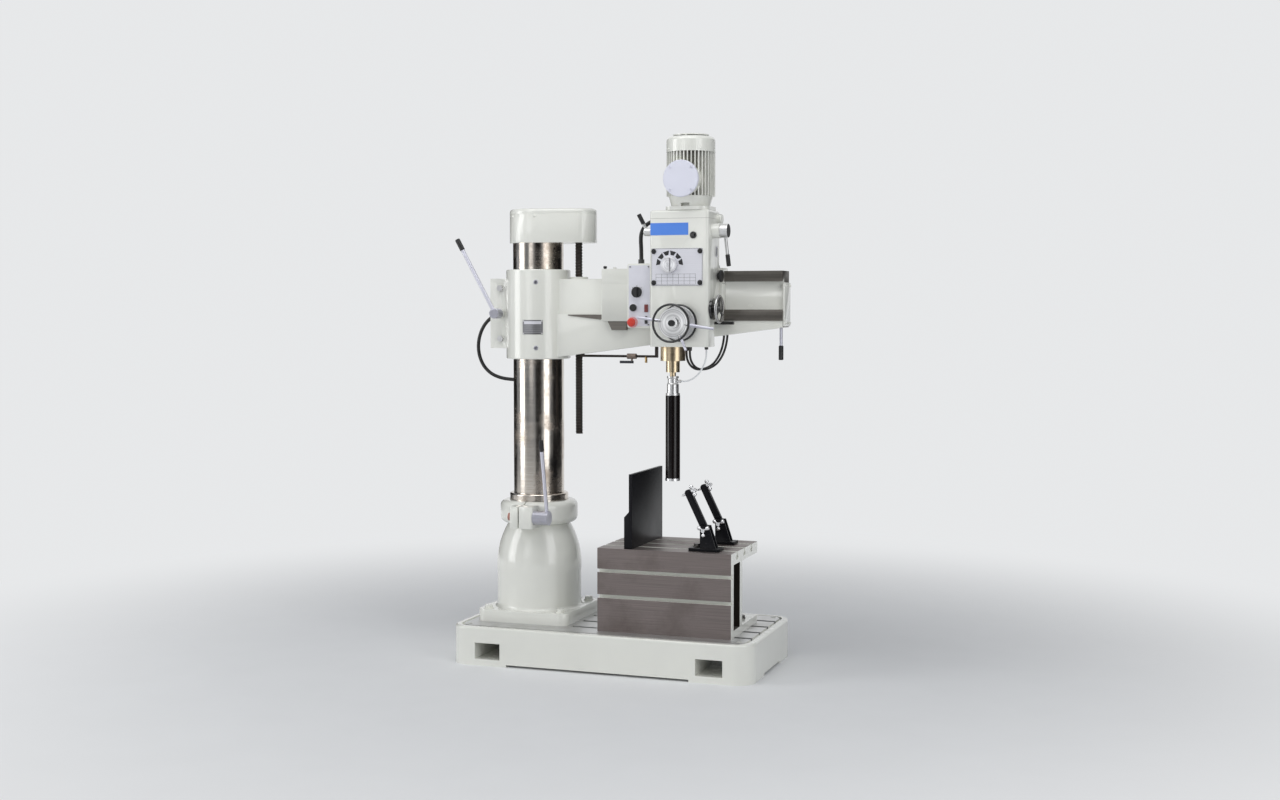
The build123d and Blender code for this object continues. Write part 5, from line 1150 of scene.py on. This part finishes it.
thread_heights = [rod_low.z + (thread_top - rod_low.z) * row / row_count for row in range(row_count + 1)]
rings = [rod_ring(z, thread_reach) for z in thread_heights]
rings += [rod_ring(z, lambda turn_share, z: head_reach) for z in (thread_top, rod_high.z)]
bm = bmesh.new()
join_rings(bm, rings)
thread = put("threaded_lift_screw", bm, oiled_steel, "lift_screw")
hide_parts("lift_screw")

# %% [markdown]
# ## Softened edges
# A sharp drawn edge never catches the light. A small bevel on the castings and plates, made by a
# modifier that leaves the node's own mesh alone, gives each edge the thin bright line of a real one.
# A weld first joins the corners that the import keeps apart, because a bevel needs whole edges.

# %% Bevels on the castings
weld_distance, bevel_from = 0.00002, radians(40)
for name, width in (("head_housing", 0.0020), ("saddle", 0.0018), ("saddle_keeper", 0.0018),
                    ("arm_casting", 0.0025), ("arm_end_plate", 0.0012), ("angle_plate", 0.0014),
                    ("clamp_bases", 0.0010), ("clamp_arm_front", 0.0010), ("clamp_arm_rear", 0.0010),
                    ("control_box", 0.0015), ("pedestal", 0.0025), ("gear_cover", 0.0010)):
    weld = nodes[name].modifiers.new("joined", "WELD")
    weld.merge_threshold = weld_distance
    rounding = add_bevel(nodes[name], width)
    rounding.angle_limit = bevel_from
    rounding.harden_normals = True
    print(name, "has edges of", round(width * 1000, 1), "mm")

# %% [markdown]
# ## Floor, light and air
# A pale floor that curves up into a backdrop gives the machine a plain ground. Near the machine the
# paper is lit like everything else and keeps the shadow. Far away it glows evenly for the lens, and
# for metal that mirrors it, so the backdrop stays pale without more light on the machine. Two tall
# softboxes draw the bright bands on the column, a weak one beside the lens lights up the plates, and
# a broad one above fills the shadows. The air lights dimly and looks pale. Polished steel needs
# something dark to mirror, so black cloths and grey curtains hang out of the picture, where only
# mirror rays meet them.

# %% Backdrop
floor_colour = (0.80, 0.81, 0.82)


def stage_piece(name, bm):
    """Turn a build mesh into a piece of the studio, which isn't part of the machine."""
    mesh = bpy.data.meshes.new(name)
    bm.to_mesh(mesh)
    bm.free()
    piece = bpy.data.objects.new(name, mesh)
    bpy.context.scene.collection.objects.link(piece)
    return piece


def backdrop(half_width, front, back, rise, bend, bend_steps=8):
    """A floor that bends up into a wall: a profile of (y, z) points, drawn out to both sides."""
    profile = [(front, 0.0), (back - bend, 0.0)]
    for step in range(1, bend_steps + 1):
        angle = step / bend_steps * pi / 2
        profile.append((back - bend + bend * sin(angle), bend - bend * cos(angle)))
    profile.append((back, rise))
    bm = bmesh.new()
    rows = [[bm.verts.new((side * half_width, y, z)) for side in (-1, 1)] for y, z in profile]
    for low, high in zip(rows, rows[1:]):
        bm.faces.new((low[0], low[1], high[1], high[0]))
    sweep = stage_piece("studio_sweep", bm)
    sweep.data.shade_smooth()
    return sweep


def mirrored_or_seen(tree):
    """One for rays from the lens, off a mirror or through glass, zero for the rest."""
    path_of_ray = tree.nodes.new("ShaderNodeLightPath")
    return maths(tree, "MAXIMUM", path_of_ray.outputs["Is Camera Ray"],
                 maths(tree, "MAXIMUM", path_of_ray.outputs["Is Glossy Ray"],
                       path_of_ray.outputs["Is Transmission Ray"]))


def glow_far_away(material, colour, lit_within, pale_beyond):
    """Blend the paper into an even glow with the distance from the machine."""
    tree = material.node_tree
    place = tree.nodes.new("ShaderNodeNewGeometry").outputs["Position"]
    far = remap(tree, vector_maths(tree, "LENGTH", place), lit_within, pale_beyond)
    far.node.interpolation_type = "SMOOTHSTEP"
    glow = tree.nodes.new("ShaderNodeEmission")
    glow.inputs["Color"].default_value = (*colour, 1.0)
    blend = tree.nodes.new("ShaderNodeMixShader")
    tree.links.new(maths(tree, "MULTIPLY", mirrored_or_seen(tree), far), blend.inputs["Fac"])
    tree.links.new(tree.nodes["Principled BSDF"].outputs["BSDF"], blend.inputs[1])
    tree.links.new(glow.outputs["Emission"], blend.inputs[2])
    tree.links.new(blend.outputs["Shader"], tree.nodes["Material Output"].inputs["Surface"])


sweep = backdrop(half_width=9.0, front=-9.0, back=5.5, rise=7.0, bend=2.0)
sweep_material = enamel("studio_paper", floor_colour, dust=0.0, gloss=0.75, wander=0.01, coat=0.0)
glow_far_away(sweep_material, floor_colour, lit_within=1.0, pale_beyond=3.8)
sweep.data.materials.append(sweep_material)
print("backdrop of", len(sweep.data.polygons), "faces")

# %% Cloths and curtains
def cloth(name, near_end, far_end, height):
    """An upright sheet that only mirror rays meet."""
    bm = bmesh.new()
    corners = [(*near_end, 0.0), (*far_end, 0.0), (*far_end, height), (*near_end, height)]
    bm.faces.new([bm.verts.new(corner) for corner in corners])
    sheet = stage_piece(name, bm)
    sheet.visible_camera = False
    sheet.visible_diffuse = False
    sheet.visible_transmission = False
    sheet.visible_shadow = False
    return sheet


black = enamel("stage_cloth", (0.012, 0.011, 0.011), dust=0.0, gloss=0.8, wander=0.1, coat=0.0, specular=0.1)
grey = enamel("stage_curtain", (0.55, 0.57, 0.60), dust=0.0, gloss=0.8, wander=0.05, coat=0.0, specular=0.1)
for name, near_end, far_end, height, material in (
        ("left_cloth", (-6.0, 0.6), (-3.4, 4.6), 4.0, black),
        ("right_cloth", (4.6, -0.4), (2.2, 4.8), 4.0, black),
        ("camera_cloth", (0.25, -4.9), (2.5, -4.1), 4.0, black),
        ("left_curtain", (-7.0, 6.0), (-7.0, -7.5), 8.0, grey),
        ("front_curtain", (-7.0, -7.5), (7.0, -7.5), 8.0, grey),
        ("right_curtain", (7.0, -7.5), (7.0, 6.0), 8.0, grey)):
    cloth(name, near_end, far_end, height).data.materials.append(material)
    print(name, "hung")

# %% Softboxes and air
def softbox(name, place, aim, width, height, watts):
    """A rectangular lamp that faces its aim."""
    lamp = bpy.data.lights.new(name, "AREA")
    lamp.shape = "RECTANGLE"
    lamp.size = width
    lamp.size_y = height
    lamp.energy = watts
    holder = bpy.data.objects.new(name, lamp)
    holder.location = place
    holder.rotation_euler = (Vector(aim) - Vector(place)).to_track_quat("-Z", "Y").to_euler()
    bpy.context.scene.collection.objects.link(holder)


softbox("left_softbox", (-4.7, -2.7, 2.3), (-0.2, 0.0, 1.3), 2.2, 4.2, 100.0)
softbox("right_softbox", (4.2, -2.8, 2.3), (0.1, 0.0, 1.3), 2.4, 4.2, 68.0)
softbox("front_softbox", (-1.5, -5.6, 2.4), (0.2, 0.0, 1.6), 1.8, 2.8, 19.0)
softbox("top_softbox", (0.2, -1.8, 4.6), (0.0, 0.0, 0.8), 3.4, 2.4, 60.0)
world = bpy.data.worlds.new("studio_air")
world.use_nodes = True
air = world.node_tree
dim = air.nodes["Background"]
dim.inputs["Color"].default_value = (0.80, 0.83, 0.88, 1.0)
dim.inputs["Strength"].default_value = 0.32
bright = air.nodes.new("ShaderNodeBackground")
bright.inputs["Color"].default_value = (*floor_colour, 1.0)
either = air.nodes.new("ShaderNodeMixShader")
air.links.new(mirrored_or_seen(air), either.inputs["Fac"])
air.links.new(dim.outputs["Background"], either.inputs[1])
air.links.new(bright.outputs["Background"], either.inputs[2])
air.links.new(either.outputs["Shader"], air.nodes["World Output"].inputs["Surface"])
bpy.context.scene.world = world
bpy.context.scene.view_settings.view_transform = "Standard"
print("studio ready")
